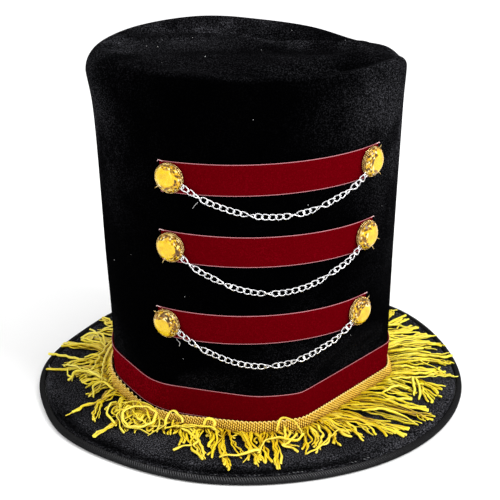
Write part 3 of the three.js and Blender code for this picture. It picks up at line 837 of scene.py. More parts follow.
def crown_skin(bearings, depth, dip, rings):
    """One skin of the crown, from its foot to near the middle of its tip."""
    crest, roll, rim_radius = rim_at(bearings)
    skin = []
    for along in np.linspace(0, 1, rings["wall"], endpoint=False):
        z = lerp(CROWN_FOOT, crest - roll, along)
        skin.append(at(bearings, wall_radius(bearings, z) - dip - depth, z))
    for angle in np.linspace(0, math.pi / 2, rings["roll"], endpoint=False):
        radius = rim_radius - roll + (roll - depth - dip) * math.cos(angle)
        skin.append(at(bearings, radius, crest - roll + (roll - depth) * math.sin(angle)))
    places = [(blend, 0) for blend in np.linspace(0, 1, rings["blend"], endpoint=False)]
    places += [(1, inward) for inward in np.linspace(0, 0.985, rings["tip"])]
    for blend, inward in places:
        radius = (rim_radius - roll - TIP_BLEND * blend) * (1 - inward)
        x, y, _ = at(bearings, radius, 0).T
        z = lerp(crest, tip_height(x, y), smoothstep(blend, 0, 1)) - depth
        skin.append(at(bearings, radius, z))
    return np.array(skin)


def crown_shape():
    bearings = crown_bearings()
    outside = crown_skin(bearings, 0, seam_dip(bearings), OUTSIDE_RINGS)
    inside = crown_skin(bearings, WALL_THICKNESS, 0, INSIDE_RINGS)
    crown = loft(np.concatenate([inside[::-1], outside]))
    x, y, z = crown["points"].T
    crest, roll, radius = rim_at(bearings_of(crown["points"]))
    on_tip = 1 - smoothstep(np.hypot(x, y), radius - roll - 3, radius - roll + 1)
    on_rim = smoothstep(z, crest - 2.5, crest + 0.5) * (1 - on_tip)
    # The painted light of the wall, of the rim and of the tip, and then of the lit places.
    base = WALL_PAINTED_LIGHT + (tip_base(y) - WALL_PAINTED_LIGHT) * on_rim + (tip_tone(x, y) - WALL_PAINTED_LIGHT) * on_tip
    return with_painted_light(crown, base, {"tip": on_tip, "wall": 1 - on_tip})


# ------------------------------------------------------------------ brim


def brim_outline(bearing):
    return curve_through(BRIM_OUTLINE, "bearing", "radius", bearing, 360)


def brim_lift(bearing, radius):
    """How far the brim's outer part is lifted at the back right."""
    outwards = smoothstep(radius, BRIM_FLAT_TO, brim_outline(bearing))
    near = bell(turn_from(BRIM_LIFT["bearing"], bearing), BRIM_LIFT["width"])
    return BRIM_LIFT["height"] * near * outwards


def brim_inner(bearing):
    return wall_radius(bearing, BRIM_THICKNESS) + GAP


def brim_outer(bearing):
    return brim_outline(bearing) - WELT["width"] - 0.2


def groove_at(bearing, radius):
    """How deep in the groove along the welt a place lies, from 0 to 1."""
    inwards = brim_outer(bearing) - GROOVE["inset"] - radius
    width, fade = GROOVE["width"], GROOVE["fade"]
    across = bell(np.minimum(inwards, 0), 2) * (1 - smoothstep(inwards, 0.15 * width, width))
    start, end = GROOVE["from"], GROOVE["to"]
    return across * window(bearing, start, start + fade, end - fade, end)


def brim_top(bearing, radius):
    """The height of the brim's upper face."""
    inner, outer = brim_inner(bearing), brim_outer(bearing)
    across = np.clip((radius - inner) / (outer - inner), 0, 1)
    padding = BRIM_PADDING * np.sin(math.pi * across)
    turn = np.radians(bearing)
    waves = np.sin(41 * turn) * np.sin(7 * turn + 1) + 0.6 * np.sin(67 * turn + 2) * np.sin(5 * turn)
    puckers = PUCKERS["height"] * waves * smoothstep(radius, PUCKERS["from"], PUCKERS["to"])
    groove = GROOVE["depth"] * groove_at(bearing, radius)
    return BRIM_THICKNESS + padding + puckers - groove + brim_lift(bearing, radius)


def brim_shape():
    """The padded ring, with rounded inner and outer edges."""
    edge = BRIM_THICKNESS / 2
    inner, outer = brim_inner(ROUND) + edge, brim_outer(ROUND) - edge
    rows = []
    for along in np.linspace(0, 1, 10):
        radius = lerp(inner, outer, along)
        rows.append((radius, brim_lift(ROUND, radius)))
    for angle in np.radians(np.linspace(-80, 80, 9)):
        radius = outer + edge * math.cos(angle)
        rows.append((radius, edge * (1 + math.sin(angle)) + brim_lift(ROUND, radius)))
    for along in np.linspace(1, 0, 36):
        radius = lerp(inner, outer, along)
        rows.append((radius, brim_top(ROUND, radius)))
    for angle in np.radians(np.linspace(80, -80, 7)):
        rows.append((inner - edge * math.cos(angle), edge * (1 + math.sin(angle))))
    rings = np.array([at(ROUND, radius, z) for radius, z in rows])
    # Painted light on the brim, then painted shade in the groove along the welt.
    brim = with_painted_light(loft(rings, joined=True), BRIM_PAINTED_LIGHT, {"brim": 1})
    x, y, _ = brim["points"].T
    brim["tone"] *= 1 - GROOVE["dark"] * groove_at(bearings_of(brim["points"]), np.hypot(x, y))
    return brim


def welt_shape():
    """The corded welt round the brim, with slanting ribs on its upper side, which carry a
    painted grey highlight round the front."""
    bearings = np.linspace(-180, 180, WELT["ribs"] * 4, endpoint=False)
    width, height = WELT["width"] / 2, WELT["height"] / 2
    middle = brim_outline(bearings) - width
    level = height + brim_lift(bearings, middle)
    start, end = WELT["bold_from"], WELT["bold_to"]
    bold = window(bearings, start, start + 30, end - 30, end)
    rings, tones = [], []
    for side in np.linspace(0, 2 * math.pi, 12, endpoint=False):
        rib = np.cos(np.radians(bearings) * WELT["ribs"] + WELT["slant"] * side)
        above = bell(turn_from(WELT["ribs_at"], math.degrees(side)), 30)
        deep = (0.05 + 0.2 * above) * (rib - 1)
        out, up = (np.sign(part) * abs(part) ** 0.8 for part in (math.cos(side), math.sin(side)))
        rings.append(at(bearings, middle + out * (width + deep), level + up * (height + deep)))
        # A painted highlight on the upper sides of the ribs, round the front.
        painted_rib_highlight = 0.07 * (1 - above) + 0.85 * above * smoothstep(rib, 0.1, 0.9)
        tones.append(lerp(WELT["plain"], painted_rib_highlight, bold))
    welt = loft(np.array(rings).transpose(1, 0, 2), joined=True)
    welt["tone"] = np.array(tones).T.ravel()
    return welt


def stitch_shapes():
    """Short pale stitches, each lying outwards over the seam."""
    draw = np.random.default_rng(SEEDS["stitches"])
    shapes = []
    for bearing in np.arange(STITCHES["from"], STITCHES["to"], STITCHES["step"]):
        if draw.uniform() < STITCHES["missing"]:
            continue
        place = bearing + draw.uniform(-0.2, 0.2)
        radius = float(brim_outer(place)) - STITCHES["inset"]
        height = float(brim_top(place, radius)) - 0.05
        step = np.array([-1, 0, 1])
        line = at(place + 0.22 * step, radius + 0.5 * step, height + 0.12 * (1 - np.abs(step)))
        shapes.append(tube(line, STITCHES["radius"], 5, tone=draw.uniform(0, 0.5)))
    return shapes


# ------------------------------------------------------------------ ribbons


def ribbon_rings(bearings, bottom):
    """The rings of a ribbon that lies on the crown: its outer face, then its inner one."""
    rings = []
    for along in np.linspace(0, 1, 18):
        z = lerp(bottom, bottom + RIBBON_WIDTH, along)
        bulge = RIBBON_BULGE * (math.sin(math.pi * along) ** 0.5 - 1)
        rings.append(at(bearings, wall_radius(bearings, z) + GAP + RIBBON_THICKNESS + bulge, z))
    for along in np.linspace(1, 0, 6):
        z = lerp(bottom, bottom + RIBBON_WIDTH, along)
        rings.append(at(bearings, wall_radius(bearings, z) + GAP, z))
    return np.array(rings).transpose(1, 0, 2)


def ribbon_tone(ribbon):
    """The ribbon with painted light on its pile, more at the two sides of the hat and most at the left.
    """
    bearings = bearings_of(ribbon["points"])
    sides = 0.45 * smoothstep(np.abs(bearings + 4), 24, 58)
    return {**ribbon, "tone": 0.42 + sides + 3.0 * window(-bearings, 38, 62, 110, 170)}


def selvedge(bearings, z, closed):
    radius = wall_radius(bearings, z) + GAP + RIBBON_THICKNESS - SELVEDGE["sunk"]
    return tube(at(bearings, radius, z), SELVEDGE["radius"], 6, closed)


def ribbon_middle(row, bearing):
    """The middle height of a row's ribbon, which rises a little to the right."""
    left, right = row["left"], row["right"]
    along = (bearing - left["bearing"]) / (right["bearing"] - left["bearing"])
    return lerp(left["z"], right["z"], along)


def band_shapes():
    band = ribbon_tone(loft(ribbon_rings(ROUND, BAND_BOTTOM), joined=True))
    edges = [selvedge(ROUND, z, True) for z in (BAND_BOTTOM, BAND_BOTTOM + RIBBON_WIDTH)]
    return band, edges


def ribbon_shapes(row):
    """A ribbon between two studs, its selvedges, and a frayed thread at each end."""
    left, right = row["left"], row["right"]
    overrun = math.degrees(RIBBON_OVERRUN / wall_radius(0, left["z"]))
    bearings = np.linspace(left["bearing"] - overrun, right["bearing"] + overrun, 110)
    bottom = ribbon_middle(row, bearings) - RIBBON_WIDTH / 2
    ribbon = ribbon_tone(loft(ribbon_rings(bearings, bottom)))
    edges = [selvedge(bearings, z, False) for z in (bottom, bottom + RIBBON_WIDTH)]
    for end, outwards in ((0, -1), (-1, 1)):
        top = bottom[end] + RIBBON_WIDTH
        turns = bearings[end] + outwards * np.array(FRAYED["turns"])
        radii = wall_radius(turns, top) + GAP + np.array(FRAYED["out"])
        frayed = at(turns, radii, top + np.array(FRAYED["rise"]))
        edges.append(tube(smooth_line(frayed, 8), 0.27, 6, tone=1.0))
    return ribbon, edges


def length_round(bearings, z):
    """The length of a line round the crown's wall."""
    return float(lengths_along(at(bearings, wall_radius(bearings, z), z))[-1])


def band_length():
    return length_round(np.linspace(-180, 180, 361), BAND_BOTTOM + RIBBON_WIDTH / 2)


def ribbon_length(row):
    bearings = np.linspace(row["left"]["bearing"], row["right"]["bearing"], 60)
    return length_round(bearings, ribbon_middle(row, bearings)) + 2 * RIBBON_OVERRUN


# ------------------------------------------------------------------ studs


def stud_frame(stud):
    """The middle of a stud's foot and its axes: across, up and out."""
    bearing, z = stud["bearing"], stud["z"]

    def on_wall(turn, rise):
        return at(bearing + turn, wall_radius(bearing + turn, z + rise), z + rise)

    turn = math.degrees(SETTING_RADIUS / wall_radius(bearing, z))
    across = unit(on_wall(turn, 0) - on_wall(-turn, 0))
    upwards = on_wall(0, SETTING_RADIUS) - on_wall(0, -SETTING_RADIUS)
    outwards = unit(np.cross(across, upwards))
    origin = on_wall(0, 0) + outwards * (GAP + RIBBON_THICKNESS + GAP)
    return origin, np.array([across, np.cross(outwards, across), outwards])


def facet_tone(middle, stud, draw):
    """Facets in the painted reflection are bright yellow. The others are black, brown, honey or straw."""
    x, y, reach_across, reach_up = stud["glow"]
    away = math.hypot((middle[0] - x) / reach_across, (middle[1] - y) / reach_up)
    if away < draw.uniform(0.9, 1.08):
        return stud["bright"] + draw.uniform(-0.04, 0.04)
    return draw.choice([0.0, 0.04, 0.12, 0.24, 0.36, 0.52, 0.66, 0.96])


def stone_shape(stud, seed):
    """A domed stone with a table and rings of small three-cornered facets, one tone each."""
    draw = np.random.default_rng(seed)
    rings = [ring_line(row["radius"], row["z"], row["corners"], row["turned"]) for row in STONE]
    points = np.concatenate(rings)
    firsts = np.cumsum([0] + [len(ring) for ring in rings])
    triangles = []
    for upper, lower, upper_first, lower_first in zip(rings, rings[1:], firsts, firsts[1:]):
        triangles += between_rings(upper, lower, upper_first, lower_first)
    table_face = np.arange(firsts[1])[None]
    back = np.arange(firsts[-2], firsts[-1])[::-1][None]
    faces = [table_face, np.array(triangles), back]
    stone = shape_of(points, faces, [np.zeros((*corners.shape, 2)) for corners in faces])
    stone["face_tones"] = [
        np.array([facet_tone(points[corners].mean(axis=0), stud, draw) for corners in group])
        for group in faces
    ]
    return stone


def between_rings(upper, lower, upper_first, lower_first):
    """The corner numbers of the triangles between two rings of points."""
    whole = 2 * math.pi
    upper_turns, lower_turns = (np.arctan2(ring[:, 1], ring[:, 0]) % whole for ring in (upper, lower))
    upper_turns = np.append(upper_turns, upper_turns[0] + whole)
    lower_turns = np.append(lower_turns, lower_turns[0] + whole)
    triangles, i, j = [], 0, 0
    while i < len(upper) or j < len(lower):
        here = [upper_first + i % len(upper), lower_first + j % len(lower)]
        if i == len(upper) or (j < len(lower) and lower_turns[j + 1] < upper_turns[i + 1]):
            j += 1
            triangles.append([*here, lower_first + j % len(lower)])
        else:
            i += 1
            triangles.append([*here, upper_first + i % len(upper)])
    return triangles


def setting_shapes(stud):
    """The pierced setting: fine rings, a crossed lattice of wires, prongs and claws."""
    shapes = []

    def line_of(wires, angle):
        return turned_line(np.radians(angle), SETTING_RADIUS + np.array(wires["out"]), wires["z"])

    for ring in RINGS:
        line = ring_line(SETTING_RADIUS + ring["out"], ring["z"], 48)
        shapes.append(tube(line, ring["wire"], 6, closed=True))
    for start in np.arange(0, 360, 360 / LATTICE["count"]):
        for lean in (-1, 1):
            line = line_of(LATTICE, start + lean * np.array(LATTICE["lean"]))
            shapes.append(tube(smooth_line(line, 6), 0.13, 5))
    for start in np.arange(0, 360, 360 / PRONGS["count"]):
        line = smooth_line(line_of(PRONGS, start + PRONGS["first"]), 8)
        shapes.append(tube(line, np.linspace(0.26, 0.14, 8), 6))
    for angle in stud["claws"]:
        shapes.append(tube(line_of(CLAWS, angle), CLAWS["wire"], 5))
    return shapes


# ------------------------------------------------------------------ chains


def chain_end(stud, inwards):
    distance = SETTING_RADIUS + CHAIN["clearance"]
    down = math.radians(stud["chain_angle"])
    sideways = math.degrees(distance * math.cos(down) / wall_radius(stud["bearing"], stud["z"]))
    return stud["bearing"] + inwards * sideways, stud["z"] - distance * math.sin(down)


def chain_path(row):
    """The middle line of a row's chain, from the left stud to the right one."""
    left_bearing, left_z = chain_end(row["left"], 1)
    right_bearing, right_z = chain_end(row["right"], -1)
    along = np.linspace(0, 1, 80)
    bearing = lerp(left_bearing, right_bearing, along)
    sag = (left_z + right_z) / 2 - row["chain_low"]
    z = lerp(left_z, right_z, along) - sag * (1 - (2 * along - 1) ** 2)
    ribbon_edge = ribbon_middle(row, bearing) - RIBBON_WIDTH / 2
    over = smoothstep(z, ribbon_edge - CHAIN["out_from"], ribbon_edge - CHAIN["out_to"])
    stand = GAP + CHAIN["diameter"] / 2 + over * (RIBBON_THICKNESS + GAP)
    return at(bearing, wall_radius(bearing, z) + stand, z)


def curb_link():
    """An oval of wire, twisted so that the next one hooks through it flat."""
    turn = np.arange(26) / 26 * 2 * math.pi
    parts = [
        LINK["half_length"] * np.cos(turn),
        LINK["half_width"] * np.sin(turn),
        LINK["twist"] * np.sin(2 * turn),
    ]
    return tube(np.stack(parts, 1), LINK["wire"], 7, closed=True)


def chain_shapes(row):
    """The links, which turn half over at a few places, and a ring at each stud."""
    path = chain_path(row)
    count = round((lengths_along(path)[-1] - 1) / LINK["pitch"])
    path = resampled(path, 2 * count + 1)
    shapes = []
    for link in range(count):
        middle = path[2 * link + 1]
        tangent = unit(path[2 * link + 2] - path[2 * link])
        outwards = middle * [1, 1, 0]
        outwards = unit(outwards - tangent * (outwards @ tangent))
        across = np.cross(outwards, tangent)
        along = (link + 0.5) / count
        half = LINK["turns_over"] / 2
        turns = [smoothstep(along, place - half, place + half) for place in row["half_turns"]]
        turn = math.pi * sum(turns) + LINK["roll"] * math.sin(link * 2.4)
        side = math.cos(turn) * across + math.sin(turn) * outwards
        face = math.cos(turn) * outwards - math.sin(turn) * across
        shapes.append(moved(curb_link(), middle, [tangent, side, face]))
    ring = tube(ring_line(END_RING["radius"], 0, 20), END_RING["wire"], 6, closed=True)
    for end, stud in ((path[0], row["left"]), (path[-1], row["right"])):
        origin, axes = stud_frame(stud)
        toward = unit(origin + 2 * axes[2] - end)
        side = np.cross(axes[2], toward)
        place = end + END_RING["toward_stud"] * toward
        shapes.append(moved(ring, place, [toward, side, np.cross(toward, side)]))
    return shapes


# ------------------------------------------------------------------ fringe

CORD = {"radius": 1.05, "flatness": 0.42, "twist": 1.6, "crimp": 0.8, "crimp_length": 10}
# The columns of the woven header, and the lumps in each: how thick, and how far sunk in.
LUMPS = {"columns": 420, "each": 4.5, "radius": 0.48, "swell": 0.3, "sunk": 0.2}
# The header's backing, as a section of levels and distances off its outside, and the pale
# loops along its upper edge. Every second one stands up round one bearing.
BACKING = [(0.0, -0.7), (0.88, -0.6), (0.88, -1.2), (0.0, -2.0)]
LOOPS = {
    "turns": (0, 0.3, 0.8, 1.3, 1.6), "level": 0.9, "rise": (0, 0.13, 0.17, 0.13, 0), "out": 0.3,
    "radius": 0.4, "tall_at": -68, "tall_reach": 20, "tall": 0.18,
}
# How the cords of a clump lie round one another at its waist: the size of the bundle for
# each cord's radius, the turn from one to the next in radians, and how wide and high it is.
BUNDLE = {"size": 0.5, "turn": 2.4, "wide": 1.7, "high": 0.75}
# Where the cords spill over the header at the left, and between which levels they start.
SPILL = {"bearing": -100, "width": 21, "low": 0.35, "high": 0.95, "out": 1.1}


def header_at(bearing, level, out):
    """Places on the outside of the header, at a level from 0 at its lower edge to 1."""
    edges = (curve_through(HEADER, "bearing", key, bearing, 360) for key in ("foot", "head", "top"))
    foot, head, top = edges
    radius = wall_radius(bearing, BAND_BOTTOM) + lerp(foot, head, level) + out
    return at(bearing, radius, lerp(HEADER_BOTTOM, top, level))


def header_shapes():
    """The woven header: columns of lumps that interlock over a backing, with pale loops
    along its upper edge."""
    backing = np.array([header_at(ROUND, level, out) for level, out in BACKING])
    shapes = [loft(backing.transpose(1, 0, 2), joined=True, tone=0.15)]
    levels = np.linspace(0, 1, 19)
    step = 360 / LUMPS["columns"]
    for column in range(LUMPS["columns"]):
        start = column * step - 180
        lumps = 0.5 + 0.5 * np.cos(2 * math.pi * (LUMPS["each"] * levels + 0.5 * (column % 2)))
        swell = LUMPS["swell"] * lumps
        line = header_at(start + 0.5 * step * levels, levels, swell - LUMPS["sunk"])
        # The lumps are lighter where they swell and darker where they sink between their neighbours:
        # painted shade.
        shapes.append(toned_along(tube(line, LUMPS["radius"] + swell, 6), 6, 0.2 + 0.6 * lumps))
        if column % 2:
            turns = start + step * np.array(LOOPS["turns"])
            tall = LOOPS["tall"] * bell(turn_from(LOOPS["tall_at"], start), LOOPS["tall_reach"])
            tall *= 1 if column % 4 == 1 else -0.5
            loop = header_at(turns, LOOPS["level"] + np.array(LOOPS["rise"]) + tall, LOOPS["out"])
            shapes.append(tube(loop, LOOPS["radius"], 6, tone=1.0))
    return shapes


# Clumps of cords as they lie on the brim, from the left to the right. Root and tip are
# bearings, spread is how wide the roots are, reach is the tip's radius, waist is how far
# along the cords run together and by how many degrees that place is off the straight way,
# tight is how closely they do, fan is how far the tips spread, in millimetres, and gold is
# how orange the cords are.
CLUMP_COLUMNS = "root spread cords tip reach waist off tight fan gold"
CLUMPS = table(
    CLUMP_COLUMNS,
    (-124, 7, 9, -126, 133, 0.60, 0, 0.8, 9, 0.1), (-117, 7, 11, -119, 139, 0.60, 1, 0.9, 9, 0.2),
    (-110, 7, 13, -113, 147, 0.60, 0, 1.1, 8, 0.1), (-103, 8, 10, -99, 136, 0.50, 0, 0.9, 7, 0.2),
    (-98, 4, 3, -106, 153, 0.45, 0, 1.3, 1.5, 0.0), (-95, 2, 2, -96, 151, 0.50, 0, 1.5, 0.8, 0.0),
    (-93, 8, 9, -90, 129, 0.60, 0, 0.9, 7, 0.4), (-86, 6, 7, -85, 123, 0.60, 0, 0.9, 5, 0.3),
    (-81, 5, 5, -75.5, 125, 0.60, 0, 1.0, 4, 0.1), (-76, 4, 4, -60, 135, 0.50, -1, 1.4, 2, 0.2),
    (-70, 3, 2, -67.4, 147, 0.50, 0, 1.5, 1, 0.0), (-67, 6, 7, -60, 121, 0.60, 0, 0.8, 8, 0.1),
    (-60, 7, 9, -54, 127, 0.60, 0, 0.7, 12, 0.0), (-54, 5, 6, -53.5, 149, 0.60, 0, 1.4, 2.5, 0.1),
    (-51, 7, 9, -47.5, 130, 0.60, 0, 0.7, 12, 0.0), (-44, 6, 6, -42, 124, 0.60, 0, 0.9, 6, 0.1),
    (-38, 5, 5, -35, 118, 0.50, 0, 0.8, 6, 0.2), (-34, 6, 5, -29.5, 127, 0.50, 0, 0.6, 8, 0.2),
    (-29, 7, 6, -22, 138, 0.65, -2, 1.2, 5, 0.3), (-24, 4, 4, -19.5, 136, 0.50, 1, 0.8, 5, 0.3),
    (-20.5, 4, 8, -14.5, 148, 0.22, 0.5, 1.5, 4, 0.3), (-18, 3, 3, -10.8, 136, 0.30, 0, 1.4, 2, 0.2),
    (-12, 9, 9, -6.8, 143, 0.50, 0, 1.6, 14, 0.3), (-4.5, 6, 6, -6.2, 144, 0.48, 0, 1.6, 12, 0.2),
    (-1.5, 4, 6, -2.2, 149, 0.55, 0.5, 1.2, 4, 0.1), (5.5, 3, 3, 4.6, 131, 0.70, -3, 1.0, 3, 0.0),
    (10, 4, 4, 6.6, 134, 0.60, 1, 0.8, 3, 0.3), (14, 4, 4, 10.2, 133, 0.55, 1.5, 0.7, 3, 0.2),
    (18, 4, 4, 16.6, 132, 0.55, 1, 0.7, 3, 0.2), (20, 5, 5, 23, 127, 0.55, 0, 0.7, 5, 0.0),
    (23, 5, 4, 25, 135, 0.55, 1.5, 0.9, 3, 0.1), (27, 5, 4, 28.6, 137, 0.55, 2, 0.9, 3, 0.0),
    (25, 15, 10, 34.5, 147, 0.55, 2.5, 1.3, 18, 0.2), (35, 7, 4, 42, 144, 0.50, 1, 0.5, 7, -0.1),
    (40, 17, 10, 46.8, 148, 0.82, 0.5, 1.4, 10, 0.6), (47, 7, 4, 51, 144, 0.60, 0, 0.7, 5, 0.0),
    (56, 6, 5, 57, 124, 0.55, 1, 0.7, 8, 0.0), (62, 5, 4, 60, 127, 0.55, 1, 0.7, 5, 0.0),
    (69, 9, 9, 61.5, 144, 0.47, 2.5, 1.3, 24, 0.6), (71, 4, 3, 74, 152, 0.55, 0, 1.1, 1.5, 0.0),
    (75, 7.5, 6, 75.5, 146, 0.78, 0, 1.1, 6, 0.1), (81, 7.5, 6, 81.5, 150, 0.82, 1, 1.1, 5, 0.0),
    (87, 7.5, 7, 87.0, 152, 0.76, -1, 1.1, 6, 0.0), (93, 7.5, 6, 94.0, 152, 0.80, 1, 1.1, 5, 0.1),
    (99, 7.0, 7, 100, 152, 0.70, 0, 1.0, 6, 0.0), (105, 6, 7, 107, 147, 0.50, 0, 0.9, 8, 0.1),
    (111, 6, 7, 114, 151, 0.60, 0, 0.9, 9, 0.0),
)
BACK_CLUMPS = {"from": 117, "to": 233, "step": 6.2, "spread": 6.5}

# Loose cords between the clumps, close to the header: the bearings of their roots, how
# far they sweep to the right, and the nearest and farthest that they reach.
LOOSE = table(
    "from to cords sweep near far gold",
    (-126, -76, 12, 3, 112, 126, 0.5), (-76, -44, 6, 2, 110, 123, 0.3),
    (-42, -20, 12, 3, 108, 120, 0.5), (-20, 22, 17, 0, 108, 126, 0.8),
    (22, 46, 7, 8, 116, 134, 0.1), (46, 72, 6, 3, 112, 124, 0.2),
    (72, 114, 5, 1, 118, 146, -0.1),
)

# Cords that can be told apart, because they curl over the header or cross their
# neighbours: bearing, radius and height over the brim of each place that they pass.
CURLS = [
    [
        (-38.4, 115.7, 3), (-39.8, 109.8, 7), (-39.6, 105, 10),
        (-37.8, 103.5, 11), (-36.4, 103, 8), (-35, 104, 4),
    ],
    [
        (-38, 116.2, 4), (-34.9, 111.7, 5), (-31, 109.5, 5),
        (-26.2, 106.7, 6), (-23, 106.5, 6), (-20.6, 109.6, 4),
    ],
    [(-38, 113.5, 3), (-31, 108, 5), (-25, 106, 5), (-21, 108, 4), (-18.5, 114, 3)],
    [(-26, 105.6, 5), (-25.6, 103.5, 9), (-24.3, 103, 10), (-22, 104, 8), (-21.4, 106, 4), (-20, 112, 4)],
    [(-26.1, 127.4, 2.5), (-28.5, 130, 2.5), (-30.5, 134.4, 1)],
    [(-33.5, 110.6, 4), (-27.2, 118.1, 4), (-22.7, 129.9, 3), (-21.6, 139.5, 1)],
    [(-31.2, 108.7, 4), (-25.9, 117.3, 4), (-24.8, 130.2, 3), (-21.8, 137.8, 1)],
    [(-17, 136.5, 2), (-14.8, 136.8, 4), (-12.2, 135.4, 3), (-8.7, 133.3, 5), (-6.5, 131, 4)],
    [
        (-6.6, 132, 3), (-5.5, 125.4, 4), (-4.1, 121.8, 6), (-1, 119.7, 6),
        (2.1, 119.9, 5), (5.4, 122.5, 4), (8.3, 117.3, 5),
    ],
    [
        (0.6, 107.5, 4), (0.9, 106.3, 8), (2.4, 105.2, 11.5), (4.8, 105.8, 12.5),
        (6.8, 108.5, 10), (7.8, 112.5, 7), (8.2, 117, 4),
    ],
    [(3.6, 104.9, 6), (2.9, 112.5, 5), (1.4, 121.7, 2)],
    [(6.5, 115.2, 5), (2.5, 123.9, 4), (0.6, 126, 4), (3.1, 127.2, 2), (4.7, 130.9, 1)],
    [(16.4, 121.9, 4), (14.4, 128.4, 3), (10.4, 132.8, 3), (9.2, 134.8, 1)],
    [(20.6, 114, 4), (19.5, 121, 5), (15.6, 125.2, 4), (10.2, 133.5, 3), (6.6, 134.6, 1)],
    [(35.4, 110.1, 5), (40, 120, 6), (41.8, 133.7, 4), (42.1, 144, 1)],
    [(52, 106, 4), (57.4, 111.7, 6), (61.2, 120.7, 2)],
    [(64.5, 107.1, 5), (66.4, 123.4, 6), (70.5, 138.2, 4), (73.8, 152.5, 1)],
    [(65.2, 123.8, 6), (61, 128, 4), (56, 131.1, 1)],
    [(65.6, 121, 6), (61, 124, 4), (58.1, 126.1, 1)],
    [(-41.3, 125.7, 1), (-39.5, 118.4, 4), (-39, 111.3, 5), (-43.3, 107.5, 5)],
    [
        (-49, 127, 3), (-52.8, 124.5, 6), (-54.3, 118, 8), (-53, 112, 9), (-48.7, 108, 10),
        (-44.3, 109.6, 9), (-42.6, 116, 7), (-44, 123.4, 5), (-49.5, 128.5, 3),
    ],
    [(-60.5, 112, 4), (-57.6, 108, 8), (-51, 105.5, 10), (-45.5, 107, 9), (-41, 114, 5), (-40, 120, 2)],
    [(-62.4, 115.1, 6), (-61.6, 120.4, 7), (-58.7, 127.4, 5), (-55.9, 129, 4), (-52.5, 130.5, 2)],
    [(-56.1, 121, 5), (-49.1, 129.4, 4), (-44.3, 125, 3), (-41.6, 124.8, 1)],
    [(-51.3, 116.4, 5), (-47.2, 117.9, 5), (-42.4, 118.5, 4), (-40.1, 112.6, 3)],
    [(-59.3, 114.6, 6), (-53.7, 126.6, 5), (-48.4, 132.8, 1)],
    [
        (-85, 108, 3), (-88, 115.2, 6), (-92.5, 124.2, 5),
        (-93.1, 132.8, 4), (-90.9, 134.1, 2), (-87.6, 130.5, 1),
    ],
    [
        (-83, 108, 3), (-86.5, 115.5, 6), (-90.4, 124.2, 5),
        (-90.1, 129.5, 4), (-88.7, 131, 2), (-87.9, 133.7, 1),
    ],
    [(-84, 110, 4), (-89.6, 122.9, 6), (-94, 128.3, 5), (-98.8, 138.8, 1)],
    [(-109, 109, 4), (-112.5, 116.7, 7), (-116.7, 123.1, 8), (-119.6, 132.6, 5), (-118.7, 139.5, 1)],
    [(-112.9, 114, 5), (-116.7, 119.3, 8), (-118.9, 127.1, 6), (-116.4, 129, 2)],
    [(-122, 110, 4), (-127.6, 121, 5), (-126.6, 127.4, 4), (-126.5, 132.4, 1)],
    [(-116.2, 108.5, 7), (-110, 110.2, 6), (-99.5, 112.8, 5), (-93, 115, 4), (-88, 121, 2)],
    [(-110.8, 107, 7), (-98.4, 107.5, 6), (-88.1, 109, 5), (-79.2, 112.7, 4), (-76, 118, 2)],
    [(-74, 107, 4), (-78, 112, 7), (-77, 119, 6), (-72, 123, 3)],
]
# The tangle at the front left: its middle, the size of its arcs along and across the brim,
# their height and their number.
TANGLE = {"bearing": -54, "radius": 116, "along": 13, "across": 5, "height": 4.5, "loops": 9}
# Single cords that wander over the others, at the right and round the back.
STRAYS = {"from": 64, "to": 236, "step": 5, "radius": 107, "steps": 4}


def lying_points(places):
    """Places given by bearing, radius and height over the brim, as points."""
    bearings, radii, heights = np.array(places, float).T
    return at(bearings, radii, heights + brim_top(bearings, radii))


def crimped(line, amount, draw):
    """The line with a slack wave along it that leaves its root where it is."""
    lengths = lengths_along(line)
    sideways = np.cross(np.gradient(line, axis=0), [0, 0, 1])
    sideways /= np.linalg.norm(sideways, axis=1, keepdims=True) + 1e-6
    wave = 0 * lengths
    for length in CORD["crimp_length"] * draw.uniform(0.7, 1.6, 2):
        wave += np.sin(2 * math.pi * (lengths / length + draw.uniform()))
    return line + sideways * (0.5 * amount * wave * smoothstep(lengths, 1, 7))[:, None]


def cord_shape(places, draw, tones, steps=22):
    """One crimped cord through a few places, flat and slightly twisted, with its own
    width. Its tones run from its root to near its tip."""
    line = smooth_line(lying_points(places), steps)
    line = crimped(line, CORD["crimp"] * draw.uniform(0.5, 1.5), draw)
    radius = CORD["radius"] * draw.uniform(0.8, 1.1)
    rolls = np.cumsum(draw.uniform(-0.5, 0.5, 5) * CORD["twist"])
    cord = tube(line, radius, 6, squash=CORD["flatness"], rolls=rolls)
    return toned_along(cord, 6, [*tones, 1.0])


def cord_start(bearing, draw):
    """The first places of a cord: out from under the header or, where the fringe spills
    over it at the left, down over its outside from a level of the cord's own."""
    if bell(turn_from(SPILL["bearing"], bearing), SPILL["width"]) < draw.uniform(0.1, 0.9):
        root = header_at(bearing, 0.1, -0.8)
        return [(bearing, math.hypot(root[0], root[1]), 0.8 + draw.uniform(0, 1.6))]
    start, out = draw.uniform(SPILL["low"], SPILL["high"]), SPILL["out"]
    levels = [(start, -0.9), (start - 0.22, 0.8 * out), (0.05, out + draw.uniform(0, 0.8))]
    places = []
    for level, stands in levels:
        place = header_at(bearing, level, stands)
        radius = math.hypot(place[0], place[1])
        places.append((bearing, radius, place[2] - float(brim_top(bearing, radius))))
    return places


